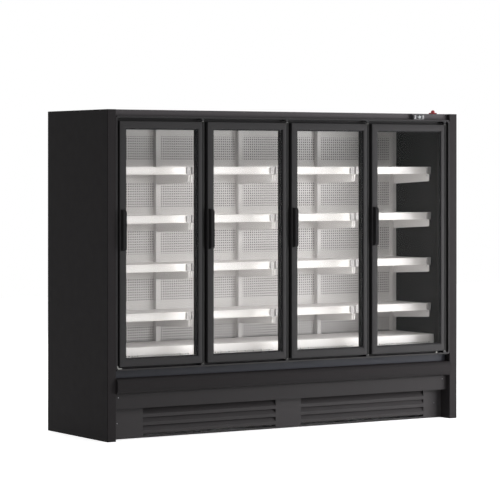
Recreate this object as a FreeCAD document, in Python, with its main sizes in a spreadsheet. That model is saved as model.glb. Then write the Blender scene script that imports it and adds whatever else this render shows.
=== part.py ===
import FreeCAD, Part
import os
import re
import Sketcher
from FreeCAD import Vector

# Upright freezer case with four hinged glass doors between two insulated end walls.
# Millimetres, +X to the right, +Y to the back, +Z up. The origin is on the floor, under
# the middle of the case with its handles.

# Counts
DOORS = 4
SHELF_LEVELS = 4
BLADES = 3
LOUVRE_GROUPS = 2
FEET_ALONG = 5
FAN_BLADES = 5
COIL_FANS = 2
TUBE_COLUMNS = 2

# A pattern's mark for a step at its even spacing
EVEN_STEP = -1.0
# Leg of the bevel that follows a rounded corner on the inside of a wall
BEVEL_SHARE = 0.6
# Half the width across a hexagon's flats, as a share of its width across corners
HEXAGON_SHARE = 0.433

SIZES = {
    # Case walls
    "row_width": 2500,
    "end_wall": 60,
    "case_height": 2000,
    "case_depth": 775,
    "end_wall_round": 5,
    "back_wall": 65,
    "floor_low": 330,
    "floor_wall": 60,
    "roof_wall": 90,
    "roof_drop": 15,
    "riser_wall": 35,
    "riser_height": 95,
    # Bands of the front, from the floor up, with their set-backs from the front plane
    "kick_height": 190,
    "kick_back": 95,
    "cove_height": 94,
    "cove_back": 35,
    "bumper_height": 94,
    "bumper_proud": 22,
    "bumper_seat": 50,
    "bumper_round": 30,
    "bumper_wall": 5,
    "bumper_cap": 6,
    "sill_height": 46,
    "sill_back": 50,
    "header_height": 39,
    "header_back": 32,
    "sheet_gauge": 2,
    # Door surround
    "lip_side": 9,
    "lip_edge": 11,
    "lip_inner_round": 11,
    "lip_outer_round": 16,
    "seat_depth": 48,
    "seat_wall": 12,
    "seat_width": 54,
    # Doors
    "side_gap_left": 16,
    "side_gap_right": 6,
    "door_gap": 12,
    "gap_over_door": 21,
    "gap_under_door": 13,
    "door_thick": 40,
    "stile": 42,
    "hinge_stile": 28,
    "hinge_edge": 27,
    "edge_front_round": 24,
    "edge_rear_round": 12,
    "rail_high": 43,
    "rail_low": 45,
    "frame_round": 3,
    # Sealed glazing unit
    "pane": 4,
    "spacer": 9,
    "glass_set": 5,
    "glass_bite": 10,
    "spacer_show": 7,
    # Gasket
    "gasket_wide": 10,
    "gasket_inset": 10,
    "gasket_hinge_inset": 28,
    "gasket_clear": 0.3,
    # Hinges
    "axis_inset": 16,
    "pin_bore": 9,
    "pin_clear": 0.05,
    "pin_length": 15,
    "washer": 15,
    "washer_clear": 0.3,
    "bracket_plate_high": 6,
    "bracket_plate_low": 8,
    "bracket_left": 13,
    "bracket_right": 10,
    "bracket_front": 8,
    # Handle
    "handle_proud": 30,
    "handle_wide": 25,
    "handle_inset": 8,
    "handle_tall": 249,
    "handle_low": 699,
    "handle_plate": 5,
    "handle_web": 6,
    "handle_foot": 3,
    "handle_end": 12,
    "handle_round": 20,
    # Mullions and light strips
    "mullion_wide": 116,
    "mullion_front": 14,
    "stem_wide": 30,
    "stem_depth": 30,
    "lens_wide": 15,
    "lens_depth": 13,
    "lens_margin": 15,
    # Cold space
    "deck_height": 155,
    "deck_back": 172,
    "deck_front_high": 59,
    "deck_leg": 20,
    "deck_slot_wide": 10,
    "deck_slot_high": 9,
    "deck_slot_pitch": 20,
    "deck_slot_low": 3,
    "upright_wide": 30,
    "upright_depth": 35,
    "duct_depth": 75,
    "panel_gap": 2,
    "shelf_setback": 187,
    "shelf_inset": 1,
    "shelf_rear_clear": 10,
    "top_shelf_room": 289,
    "first_rail": 159.5,
    "shelf_flange": 25,
    "shelf_sheet": 1.5,
    "rail_height": 47,
    "rail_depth": 12,
    "rail_wall": 2,
    "rail_lip": 4,
    "rail_over_shelf": 4,
    "bracket_drop": 47,
    "bracket_sheet": 2.5,
    "bracket_nose_round": 10,
    "bracket_heel": 20,
    "bracket_hole": 8,
    "bracket_hole_in": 25,
    "bracket_hole_drop": 10,
    # Louvres of the kick plate
    "louvre_wide": 963,
    "louvre_first": 238,
    "louvre_step": 1155,
    "louvre_low": 13,
    "louvre_high": 170,
    "blade_low": 13,
    "blade_pitch": 49.5,
    "blade_rise": 58,
    "blade_depth": 24,
    "blade_lip": 18,
    "blade_sheet": 2.5,
    "kick_clear": 4,
    "kick_flange": 20,
    # Base frame and feet
    "foot_height": 60,
    "foot_disc": 50,
    "foot_disc_high": 12,
    "foot_stud": 12,
    "foot_nut": 22,
    "foot_nut_high": 10,
    "foot_margin": 70,
    "foot_bevel": 4,
    "beam_height": 50,
    "beam_wide": 40,
    "beam_back": 45,
    "rear_margin": 18,
    "post_wide": 36,
    "tray_left": 190,
    "tray_right": 1190,
    # Rear service grille
    "grille_slot_wide": 12,
    "grille_slot_pitch": 78,
    "grille_slot_edge": 60,
    # Machinery
    "compressor_right": 290,
    "compressor_back": 420,
    "compressor_can": 190,
    "compressor_high": 185,
    "compressor_round": 60,
    "compressor_lip": 6,
    "compressor_mount": 24,
    "compressor_foot": 230,
    "compressor_foot_high": 14,
    "terminal_wide": 60,
    "terminal_high": 52,
    "terminal_out": 22,
    "coil_right": 1000,
    "coil_wide": 460,
    "coil_back": 200,
    "coil_thick": 60,
    "coil_high": 200,
    "fin_pitch": 19,
    "fin_gap": 12,
    "fin_cut": 20,
    "coil_tube": 10,
    "coil_tube_round": 4,
    "bend_span": 50,
    "bend_reach": 14,
    "fan_bore": 180,
    "fan_clear": 6,
    "fan_plate": 3,
    "fan_depth": 30,
    "hub_size": 46,
    "hub_depth": 26,
    "shaft": 8,
    "shaft_clear": 0.05,
    "shaft_reach": 16,
    "motor_size": 70,
    "motor_depth": 60,
    "motor_gap": 2,
    "motor_arm": 14,
    "blade_thick": 2.5,
    "shaft_room": 1,
    # Evaporator under the deck
    "pan_left": 960,
    "pan_front_room": 57,
    "pan_clear": 5,
    "pan_rim": 14,
    "pan_sheet": 3,
    "cold_rear_clear": 40,
    "cold_coil_thick": 230,
    "cold_coil_left": 900,
    "cold_coil_high": 120,
    "cold_fin_pitch": 60,
    "cold_fin_gap": 40,
    "cold_fan_bore": 104,
    "cold_fan_place": 450,
    "cold_fan_gap": 38,
    "cold_hub": 32,
    "cold_motor": 44,
    "cold_motor_depth": 10,
    "cold_depth": 18,
    "cold_hub_depth": 14,
    "cold_arm": 8,
    "cold_reach": 9,
    # Roof valve
    "valve_right": 63,
    "valve_back": 100,
    "valve_body": 30,
    "valve_body_high": 13,
    "valve_pipe": 10,
    "valve_pipe_long": 60,
    "valve_stem": 8,
    "valve_stem_high": 16,
    "valve_clear": 0.3,
    "valve_hub": 26,
    "valve_hub_high": 28,
    "wing_span": 68,
    "wing_thick": 9,
    "wing_high": 12,
    "wing_root": 15,
    # Temperature controller on the header
    "pod_wide": 86,
    "pod_high": 34,
    "pod_right": 204,
    "pod_round": 7,
    "window_wide": 36,
    "window_high": 22,
    "window_deep": 1,
    "key_wide": 10,
    "key_high": 7,
    "key_depth": 5,
    "key_proud": 1,
    "key_clear": 0.3,
    "key_travel_room": 1.3,
    "key_side": 31,
    "key_rise": 6,
    "key_round": 1.5,
    # One overrun serves all cuts
    "overrun": 5,
}

doc = FreeCAD.newDocument("GlassDoorFreezer")
sheet = doc.addObject("Spreadsheet::Sheet", "Sizes")
for row, (alias, size) in enumerate(SIZES.items(), 1):
    sheet.set(f"A{row}", alias)
    sheet.set(f"B{row}", str(size))
    sheet.setAlias(f"B{row}", alias)
doc.recompute()

# Places that several pieces share, worked out from the sizes. FRONT is the plane of the
# end walls' front edges; depths are measured back from it.
FRONT = "(handle_proud - case_depth) / 2"
HALF_ROW = "row_width / 2"
COVE_LOW = "kick_height"
BUMPER_LOW = "(kick_height + cove_height)"
SILL_LOW = "(kick_height + cove_height + bumper_height)"
SURROUND_LOW = "(kick_height + cove_height + bumper_height + sill_height)"
SURROUND_HIGH = "(case_height - header_height)"
SHELL_FRONT = "(seat_depth + seat_wall)"
BACK_WALL_FRONT = "(case_depth - back_wall)"
TUB_FLOOR = "(floor_low + floor_wall)"
CEILING = "(case_height - roof_drop - roof_wall)"
ROOF_TOP = "(case_height - roof_drop)"
DECK_TOP = f"({TUB_FLOOR} + deck_height)"
PANEL_FRONT = f"({BACK_WALL_FRONT} - duct_depth)"
UPRIGHT_FRONT = f"({PANEL_FRONT} - upright_depth)"
TRAY = "(foot_height + beam_height)"
COIL_LEFT = f"({HALF_ROW} - coil_right)"
DOOR_WIDE = (
    f"((row_width - 2 * lip_side - side_gap_left - side_gap_right - {DOORS - 1} * door_gap)"
    f" / {DOORS})"
)
DOOR_PITCH = f"({DOOR_WIDE} + door_gap)"
FIRST_DOOR = f"(lip_side + side_gap_left - {HALF_ROW})"
DOOR_LOW = f"({SURROUND_LOW} + lip_edge + gap_under_door)"
DOOR_HIGH = f"({SURROUND_HIGH} - lip_edge - gap_over_door)"


def word_bound(expression):
    """An expression in which each size's name points at its cell in the sheet."""
    return re.sub(
        r"[a-z][a-z_]+",
        lambda word: f"Sizes.{word.group()}" if word.group() in SIZES else word.group(),
        expression,
    )


def value(expression):
    """The number that an expression of sizes gives."""
    return float(sheet.evalExpression(expression))


def back(depth):
    """The Y place at a depth behind the front plane."""
    return f"({FRONT} + {depth})"


def set_size(feature, name, expression):
    feature.setExpression(name, word_bound(expression))


def origin_part(body, role):
    return [part for part in body.Origin.OriginFeatures if part.Role == role][0]


def new_body(name):
    body = doc.addObject("PartDesign::Body", name)
    body.Label = name
    return body


def box_outline(left, right, low, high):
    return [(left, low), (right, low), (right, high), (left, high)]


def hexagon(across, up, size):
    """Six corners at even angles, the size apart from corner to corner."""
    rise = f"{HEXAGON_SHARE} * {size}"
    return [
        (f"{across} + {size} / 2", up),
        (f"{across} + {size} / 4", f"{up} + {rise}"),
        (f"{across} - {size} / 4", f"{up} + {rise}"),
        (f"{across} - {size} / 2", up),
        (f"{across} - {size} / 4", f"{up} - {rise}"),
        (f"{across} + {size} / 4", f"{up} - {rise}"),
    ]


def channel_outline(front, rear, low, high, gauge):
    """A bent sheet: a front face with a flange back along its top and its bottom."""
    return [
        (front, low),
        (rear, low),
        (rear, f"{low} + {gauge}"),
        (f"{front} + {gauge}", f"{low} + {gauge}"),
        (f"{front} + {gauge}", f"{high} - {gauge}"),
        (rear, f"{high} - {gauge}"),
        (rear, high),
        (front, high),
    ]


def draw_loop(sketch, corners):
    """A closed run of straight lines whose corners are held by the sizes."""
    places = [Vector(value(across), value(up), 0) for across, up in corners]
    first = sketch.GeometryCount
    count = len(corners)
    for number, place in enumerate(places):
        sketch.addGeometry(Part.LineSegment(place, places[(number + 1) % count]))
    for number in range(count):
        here = first + number
        following = first + (number + 1) % count
        sketch.addConstraint(Sketcher.Constraint("Coincident", here, 2, following, 1))
    for number, (across, up) in enumerate(corners):
        here = first + number
        hold_point(sketch, here, 1, across, up)


def hold_point(sketch, geometry, point, across, up):
    held = sketch.addConstraint(
        Sketcher.Constraint("DistanceX", geometry, point, value(across))
    )
    sketch.setExpression(f"Constraints[{held}]", word_bound(across))
    held = sketch.addConstraint(
        Sketcher.Constraint("DistanceY", geometry, point, value(up))
    )
    sketch.setExpression(f"Constraints[{held}]", word_bound(up))


def draw_circle(sketch, across, up, diameter):
    middle = Vector(value(across), value(up), 0)
    radius = f"({diameter}) / 2"
    circle = sketch.addGeometry(Part.Circle(middle, Vector(0, 0, 1), value(radius)))
    hold_point(sketch, circle, 3, across, up)
    held = sketch.addConstraint(Sketcher.Constraint("Radius", circle, value(radius)))
    sketch.setExpression(f"Constraints[{held}]", word_bound(radius))


def new_sketch(body, name, role, place, loops):
    """A sketch on one of the body's own planes, set off along that plane's normal."""
    sketch = body.newObject("Sketcher::SketchObject", f"{name}_outline")
    sketch.AttachmentSupport = (origin_part(body, role), [""])
    sketch.MapMode = "FlatFace"
    set_size(sketch, "AttachmentOffset.Base.z", place)
    for loop in loops:
        if loop[0] == "circle":
            draw_circle(sketch, *loop[1:])
        else:
            draw_loop(sketch, loop)
    return sketch


def add(body, name, role, start, end, loops):
    """Material between two places along a plane's axis: X for YZ, Y for XZ, Z for XY."""
    place = f"-({end})" if role == "XZ_Plane" else start
    sketch = new_sketch(body, name, role, place, loops)
    pad = body.newObject("PartDesign::Pad", name)
    pad.Profile = sketch
    set_size(pad, "Length", f"({end}) - ({start})")
    doc.recompute()
    return pad


def cut(body, name, role, start, end, loops):
    """Material taken away between two places along a plane's axis."""
    before = body.Shape.Volume
    place = f"-({start})" if role == "XZ_Plane" else end
    sketch = new_sketch(body, name, role, place, loops)
    pocket = body.newObject("PartDesign::Pocket", name)
    pocket.Profile = sketch
    set_size(pocket, "Length", f"({end}) - ({start})")
    doc.recompute()
    if not body.Shape.Volume < before:
        raise ValueError(f"{body.Label}: {name} takes nothing away")
    return pocket


def round_edges(body, name, radius, chosen, kind="Fillet"):
    """A fillet or chamfer on the edges of the newest feature that the test picks."""
    base = body.Tip
    edges = [
        f"Edge{number}"
        for number, edge in enumerate(base.Shape.Edges, 1)
        if chosen(edge)
    ]
    if not edges:
        raise ValueError(f"{body.Label}: {name} finds no edge")
    rounding = body.newObject(f"PartDesign::{kind}", name)
    rounding.Base = (base, edges)
    set_size(rounding, "Radius" if kind == "Fillet" else "Size", radius)
    doc.recompute()
    return rounding


def near(number, expression):
    """True where a coordinate lies at the place that an expression gives."""
    return abs(number - value(expression)) < 0.01 * value("sheet_gauge")


def runs_along(edge, direction):
    """True for a straight edge that runs along a unit direction."""
    if edge.Curve.TypeId != "Part::GeomLine":
        return False
    return abs(edge.Curve.Direction.dot(direction)) > 0.999


def repeat(body, name, features, role, spacing, count, second=None):
    """Copies of features at an even spacing, along one or two of the body's axes."""
    pattern = body.newObject("PartDesign::LinearPattern", name)
    pattern.Originals = features
    pattern.Direction = (origin_part(body, role), [""])
    pattern.Mode = "Spacing"
    set_size(pattern, "Offset", spacing)
    pattern.Occurrences = count
    if second:
        second_role, second_spacing, second_count = second
        pattern.Direction2 = (origin_part(body, second_role), [""])
        pattern.Mode2 = "Spacing"
        set_size(pattern, "Offset2", second_spacing)
        pattern.Occurrences2 = second_count
        pattern.Spacings2 = [EVEN_STEP] * (second_count - 1)
    body.Tip = pattern
    doc.recompute()
    return pattern


# Case walls
def end_wall(name, inner, outer):
    """A foam-filled wall whose steel skin turns round its front and top edges."""
    body = new_body(name)
    outline = box_outline(FRONT, back("case_depth"), "0", "case_height")
    add(body, "board", "YZ_Plane", inner, outer, [outline])
    upright = Vector(0, 0, 1)
    round_edges(
        body, "front_round", "end_wall_round",
        lambda edge: runs_along(edge, upright) and near(edge.CenterOfMass.y, FRONT),
    )
    return body


def back_wall():
    body = new_body("back_wall")
    outline = box_outline(f"-{HALF_ROW}", HALF_ROW, "floor_low", CEILING)
    add(body, "board", "XZ_Plane", back(BACK_WALL_FRONT), back("case_depth"), [outline])
    return body


def tub_floor():
    """The insulated floor, with the riser behind the surround's low bar."""
    body = new_body("tub_floor")
    front = back(SHELL_FRONT)
    rear = back(BACK_WALL_FRONT)
    outline = [
        (front, "floor_low"),
        (rear, "floor_low"),
        (rear, TUB_FLOOR),
        (f"{front} + riser_wall", TUB_FLOOR),
        (f"{front} + riser_wall", f"{TUB_FLOOR} + riser_height"),
        (front, f"{TUB_FLOOR} + riser_height"),
    ]
    add(body, "board", "YZ_Plane", f"-{HALF_ROW}", HALF_ROW, [outline])
    return body


def roof_panel():
    body = new_body("roof_panel")
    outline = box_outline(back(SHELL_FRONT), back("case_depth"), CEILING, ROOF_TOP)
    add(body, "board", "YZ_Plane", f"-{HALF_ROW}", HALF_ROW, [outline])
    return body


def header_fascia():
    """A bent sheet over the doors: its front face, a top flange and a leg to the roof."""
    body = new_body("header_fascia")
    front = back("header_back")
    rear = back(f"{SHELL_FRONT} + sheet_gauge")
    outline = [
        (front, SURROUND_HIGH),
        (f"{front} + sheet_gauge", SURROUND_HIGH),
        (f"{front} + sheet_gauge", "case_height - sheet_gauge"),
        (f"{rear} - sheet_gauge", "case_height - sheet_gauge"),
        (f"{rear} - sheet_gauge", ROOF_TOP),
        (rear, ROOF_TOP),
        (rear, "case_height"),
        (front, "case_height"),
    ]
    add(body, "bent_sheet", "YZ_Plane", f"-{HALF_ROW}", HALF_ROW, [outline])
    return body


def door_surround():
    """The portal round all doors: a narrow lip, its returns, and the gasket seat."""
    body = new_body("door_surround")
    outer = box_outline(f"-{HALF_ROW}", HALF_ROW, SURROUND_LOW, SURROUND_HIGH)
    lip = box_outline(
        f"lip_side - {HALF_ROW}", f"{HALF_ROW} - lip_side",
        f"{SURROUND_LOW} + lip_edge", f"{SURROUND_HIGH} - lip_edge",
    )
    add(body, "lip", "XZ_Plane", FRONT, back("seat_depth"), [outer, lip])
    along = Vector(0, 1, 0)
    inside = value(f"{HALF_ROW} - lip_side") + 0.5 * value("sheet_gauge")
    round_edges(
        body, "inner_corners", "lip_inner_round",
        lambda edge: runs_along(edge, along) and abs(edge.CenterOfMass.x) < inside,
    )
    round_edges(
        body, "outer_corners", "lip_outer_round",
        lambda edge: runs_along(edge, along) and near(abs(edge.CenterOfMass.x), HALF_ROW),
    )
    seat = box_outline(
        f"seat_width - {HALF_ROW}", f"{HALF_ROW} - seat_width",
        f"{TUB_FLOOR} + riser_height", CEILING,
    )
    add(body, "seat", "XZ_Plane", back("seat_depth"), back(SHELL_FRONT), [outer, seat])
    return body


def gap_middle(number):
    """The X place of the middle of the gap after a door, counted from 1."""
    return f"({FIRST_DOOR} + {number} * {DOOR_PITCH} - door_gap / 2)"


def mullions():
    """T-shaped posts behind the gaps between doors, with the light strips' stem."""
    body = new_body("mullions")
    middle = gap_middle(1)
    front = back("seat_depth")
    shoulder = back("seat_depth + mullion_front")
    rear = back("seat_depth + mullion_front + stem_depth")
    outline = [
        (f"{middle} - mullion_wide / 2", front),
        (f"{middle} + mullion_wide / 2", front),
        (f"{middle} + mullion_wide / 2", shoulder),
        (f"{middle} + stem_wide / 2", shoulder),
        (f"{middle} + stem_wide / 2", rear),
        (f"{middle} - stem_wide / 2", rear),
        (f"{middle} - stem_wide / 2", shoulder),
        (f"{middle} - mullion_wide / 2", shoulder),
    ]
    post = add(body, "post", "XY_Plane", f"{TUB_FLOOR} + riser_height", CEILING, [outline])
    repeat(body, "posts", [post], "X_Axis", DOOR_PITCH, DOORS - 1)
    return body


def led_strips():
    """Lens bars in the corners of the mullions and behind the surround's sides."""
    body = new_body("led_strips")
    low = f"{TUB_FLOOR} + riser_height + lens_margin"
    high = f"{CEILING} - lens_margin"

    def lens(corner, front, side):
        """A bar with a slanted face, on one side of a corner."""
        far = f"{corner} + {side} * lens_wide"
        return [
            (corner, back(front)),
            (far, back(front)),
            (far, back(f"{front} + lens_depth / 2")),
            (f"{corner} + {side} * lens_wide / 3", back(f"{front} + lens_depth")),
            (corner, back(f"{front} + lens_depth")),
        ]

    front = "(seat_depth + mullion_front)"
    middle = gap_middle(1)
    pair = add(body, "mullion_lenses", "XY_Plane", low, high, [
        lens(f"{middle} - stem_wide / 2", front, -1),
        lens(f"{middle} + stem_wide / 2", front, 1),
    ])
    repeat(body, "mullion_row", [pair], "X_Axis", DOOR_PITCH, DOORS - 1)
    add(body, "end_lenses", "XY_Plane", low, high, [
        lens(f"-{HALF_ROW}", SHELL_FRONT, 1),
        lens(HALF_ROW, SHELL_FRONT, -1),
    ])
    return body


# Front bands below the doors
def sill_panel():
    body = new_body("sill_panel")
    outline = channel_outline(
        back("sill_back"), back(SHELL_FRONT), SILL_LOW, SURROUND_LOW, "sheet_gauge"
    )
    add(body, "bent_sheet", "YZ_Plane", f"-{HALF_ROW}", HALF_ROW, [outline])
    return body


def bumper_outline():
    return box_outline(
        back("0 - bumper_proud"), back("bumper_seat"), BUMPER_LOW, SILL_LOW
    )


def bumper():
    """A hollow rail with a full rounded nose, between its end caps."""
    body = new_body("bumper")
    left = f"bumper_cap - {HALF_ROW}"
    right = f"{HALF_ROW} - bumper_cap"
    add(body, "rail", "YZ_Plane", left, right, [bumper_outline()])
    nose = back("0 - bumper_proud")
    along = Vector(1, 0, 0)
    round_edges(
        body, "nose", "bumper_round",
        lambda edge: runs_along(edge, along) and near(edge.CenterOfMass.y, nose),
    )
    low = f"({BUMPER_LOW} + bumper_wall)"
    high = f"({SILL_LOW} - bumper_wall)"
    inner_nose = back("bumper_wall - bumper_proud")
    rear = back("bumper_seat - bumper_wall")
    bevel = f"{BEVEL_SHARE} * (bumper_round - bumper_wall)"
    hollow = [
        (f"{inner_nose} + {bevel}", low),
        (rear, low),
        (rear, high),
        (f"{inner_nose} + {bevel}", high),
        (inner_nose, f"{high} - {bevel}"),
        (inner_nose, f"{low} + {bevel}"),
    ]
    cut(body, "hollow", "YZ_Plane", left, right, [hollow])
    return body


def bumper_end_caps():
    body = new_body("bumper_end_caps")
    cap = add(body, "cap", "YZ_Plane", f"-{HALF_ROW}", f"bumper_cap - {HALF_ROW}",
              [bumper_outline()])
    nose = back("0 - bumper_proud")
    along = Vector(1, 0, 0)
    rounding = round_edges(
        body, "nose", "bumper_round",
        lambda edge: runs_along(edge, along) and near(edge.CenterOfMass.y, nose),
    )
    mirror = body.newObject("PartDesign::Mirrored", "other_cap")
    mirror.Originals = [cap, rounding]
    mirror.MirrorPlane = (origin_part(body, "YZ_Plane"), [""])
    body.Tip = mirror
    doc.recompute()
    return body


def cove_panel():
    body = new_body("cove_panel")
    outline = channel_outline(
        back("cove_back"), back("kick_back + sheet_gauge"), COVE_LOW, BUMPER_LOW,
        "sheet_gauge",
    )
    add(body, "bent_sheet", "YZ_Plane", f"-{HALF_ROW}", HALF_ROW, [outline])
    return body


def kick_plate():
    """The plinth panel, with two louvred openings of slanted blades between cheeks."""
    body = new_body("kick_plate")
    front = back("kick_back")
    rear = back("kick_back + kick_flange")
    outline = channel_outline(front, rear, "kick_clear", "kick_height", "sheet_gauge")
    add(body, "bent_sheet", "YZ_Plane", f"-{HALF_ROW}", HALF_ROW, [outline])
    left = f"(louvre_first - {HALF_ROW})"
    right = f"({left} + louvre_wide)"
    opening = box_outline(left, right, "louvre_low", "louvre_low + louvre_high")
    shifted = [(f"{across} + louvre_step", up) for across, up in opening]
    cut(body, "openings", "XZ_Plane", f"{front} - overrun", f"{front} + sheet_gauge",
        [opening, shifted])
    low = "(louvre_low + blade_low)"
    lip = f"({front} + blade_sheet)"
    rise = f"({low} + blade_lip)"
    blade_outline = [
        (front, low),
        (lip, low),
        (lip, rise),
        (f"{front} + blade_depth", f"{low} + blade_rise - blade_sheet"),
        (f"{front} + blade_depth", f"{low} + blade_rise"),
        (front, f"{rise} + blade_sheet"),
    ]
    blade = add(body, "blade", "YZ_Plane", left, right, [blade_outline])
    repeat(body, "blades", [blade], "Z_Axis", "blade_pitch", BLADES,
           ("X_Axis", "louvre_step", LOUVRE_GROUPS))
    cheek = box_outline(
        f"{front} + sheet_gauge", f"{front} + beam_back",
        "louvre_low", "louvre_low + louvre_high",
    )
    left_cheek = add(body, "left_cheek", "YZ_Plane", f"{left} - sheet_gauge", left, [cheek])
    right_cheek = add(body, "right_cheek", "YZ_Plane", right, f"{right} + sheet_gauge", [cheek])
    repeat(body, "cheeks", [left_cheek, right_cheek], "X_Axis", "louvre_step", LOUVRE_GROUPS)
    return body


# Base
BEAM_FRONT = "(kick_back + beam_back)"
BEAM_REAR = "(case_depth - rear_margin)"


def base_frame():
    """Two long channels, cross rails, posts under the tub and the machinery tray."""
    body = new_body("base_frame")
    left = f"(-{HALF_ROW})"
    right = HALF_ROW
    front_rail = channel_outline(
        back(BEAM_FRONT), back(f"{BEAM_FRONT} + beam_wide"), "foot_height", TRAY,
        "blade_sheet",
    )
    rear_rail = [
        (back(BEAM_REAR), "foot_height"),
        (back(f"{BEAM_REAR} - beam_wide"), "foot_height"),
        (back(f"{BEAM_REAR} - beam_wide"), "foot_height + blade_sheet"),
        (back(f"{BEAM_REAR} - blade_sheet"), "foot_height + blade_sheet"),
        (back(f"{BEAM_REAR} - blade_sheet"), f"{TRAY} - blade_sheet"),
        (back(f"{BEAM_REAR} - beam_wide"), f"{TRAY} - blade_sheet"),
        (back(f"{BEAM_REAR} - beam_wide"), TRAY),
        (back(BEAM_REAR), TRAY),
    ]
    add(body, "long_rails", "YZ_Plane", left, right, [front_rail, rear_rail])
    rail = box_outline(left, f"{left} + post_wide",
                       back(f"{BEAM_FRONT} + beam_wide"), back(f"{BEAM_REAR} - beam_wide"))
    cross = add(body, "cross_rail", "XY_Plane", "foot_height", TRAY, [rail])
    post_front = box_outline(
        left, f"{left} + post_wide", back(BEAM_FRONT), back(f"{BEAM_FRONT} + beam_wide")
    )
    post_rear = box_outline(
        left, f"{left} + post_wide", back(f"{BEAM_REAR} - beam_wide"), back(BEAM_REAR)
    )
    posts = add(body, "posts", "XY_Plane", "foot_height", "floor_low",
                [post_front, post_rear])
    spacing = f"(row_width - post_wide) / {FEET_ALONG - 1}"
    repeat(body, "frames", [cross, posts], "X_Axis", spacing, FEET_ALONG)
    tray = box_outline("tray_left", "tray_right", back(BEAM_FRONT), back(BEAM_REAR))
    add(body, "tray", "XY_Plane", TRAY, f"{TRAY} + blade_sheet", [tray])
    return body


def levelling_feet():
    """Threaded studs on round pads, two rows under the long rails."""
    body = new_body("levelling_feet")
    place = f"foot_margin - {HALF_ROW}"
    front = back(f"{BEAM_FRONT} + beam_wide / 2")
    disc = add(body, "pad", "XY_Plane", "0", "foot_disc_high",
               [("circle", place, front, "foot_disc")])
    rim = round_edges(
        body, "pad_bevel", "foot_bevel",
        lambda edge: near(edge.CenterOfMass.z, "foot_disc_high")
        and edge.Length > value("foot_stud * 4"),
        "Chamfer",
    )
    stud = add(body, "stud", "XY_Plane", "foot_disc_high", "foot_height",
               [("circle", place, front, "foot_stud")])
    spacing = f"(row_width - 2 * foot_margin) / {FEET_ALONG - 1}"
    rows = f"{BEAM_REAR} - {BEAM_FRONT} - beam_wide"
    nut = add(body, "nut", "XY_Plane", "foot_height - foot_nut_high", "foot_height",
              [hexagon(place, front, "foot_nut")])
    repeat(body, "feet", [disc, rim, stud, nut], "X_Axis", spacing, FEET_ALONG,
           ("Y_Axis", rows, 2))
    return body


def rear_grille():
    """The slotted cover over the machinery at the back."""
    body = new_body("rear_grille")
    front = back(BEAM_REAR)
    rear = back(f"{BEAM_REAR} + sheet_gauge")
    outline = box_outline(f"-{HALF_ROW}", HALF_ROW, "foot_height", "floor_low")
    add(body, "cover", "XZ_Plane", front, rear, [outline])
    left = f"(grille_slot_edge - {HALF_ROW})"
    slot_outline = box_outline(
        left, f"{left} + grille_slot_wide",
        f"{TRAY} + grille_slot_edge", "floor_low - grille_slot_edge",
    )
    slot = cut(body, "slot", "XZ_Plane", front, f"{rear} + overrun", [slot_outline])
    count = int(value("(row_width - 2 * grille_slot_edge) / grille_slot_pitch")) + 1
    repeat(body, "slots", [slot], "X_Axis", "grille_slot_pitch", count)
    return body


# Doors
GLASS_BACK = "(glass_set + 3 * pane + 2 * spacer)"


def door_places(number):
    """The left edge, right edge and hinge axis of a door, counted from 0."""
    left = f"({FIRST_DOOR} + {number} * {DOOR_PITCH})"
    right = f"({left} + {DOOR_WIDE})"
    return left, right, f"({right} - axis_inset)"


def door_frame(name, left, right):
    """The aluminium ring round the glass, grooved for the glazing unit."""
    body = new_body(name)
    edge = f"({right} - hinge_edge)"
    glass_left = f"({left} + stile)"
    glass_right = f"({edge} - hinge_stile)"
    glass_low = f"({DOOR_LOW} + rail_low)"
    glass_high = f"({DOOR_HIGH} - rail_high)"
    outer = box_outline(left, edge, DOOR_LOW, DOOR_HIGH)
    opening = box_outline(glass_left, glass_right, glass_low, glass_high)
    add(body, "ring", "XZ_Plane", FRONT, back("door_thick"), [outer, opening])
    upright = Vector(0, 0, 1)
    round_edges(
        body, "free_edge", "frame_round",
        lambda edge: runs_along(edge, upright) and near(edge.CenterOfMass.x, left),
    )
    groove = box_outline(
        f"{glass_left} - glass_bite", f"{glass_right} + glass_bite",
        f"{glass_low} - glass_bite", f"{glass_high} + glass_bite",
    )
    cut(body, "groove", "XZ_Plane", back("glass_set"), back(GLASS_BACK), [groove])
    return body


def door_glass(name, left, right):
    """A sealed unit: three panes with a spacer ring in each gap."""
    glass_left = f"({left} + stile)"
    glass_right = f"({right} - hinge_edge - hinge_stile)"
    glass_low = f"({DOOR_LOW} + rail_low)"
    glass_high = f"({DOOR_HIGH} - rail_high)"

    def rim(inset):
        return box_outline(
            f"{glass_left} + {inset}", f"{glass_right} - {inset}",
            f"{glass_low} + {inset}", f"{glass_high} - {inset}",
        )

    panes = new_body(f"{name}_panes")
    front_pane = add(panes, "pane", "XZ_Plane", back("glass_set"),
                     back("glass_set + pane"), [rim("(0 - glass_bite)")])
    repeat(panes, "panes", [front_pane], "Y_Axis", "pane + spacer", 3)
    spacers = new_body(f"{name}_spacers")
    ring = add(spacers, "ring", "XZ_Plane", back("glass_set + pane"),
               back("glass_set + pane + spacer"),
               [rim("(0 - glass_bite)"), rim("spacer_show")])
    repeat(spacers, "rings", [ring], "Y_Axis", "pane + spacer", 2)
    unit = doc.addObject("Part::Compound", name)
    unit.Label = name
    unit.Links = [panes, spacers]
    return unit


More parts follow.
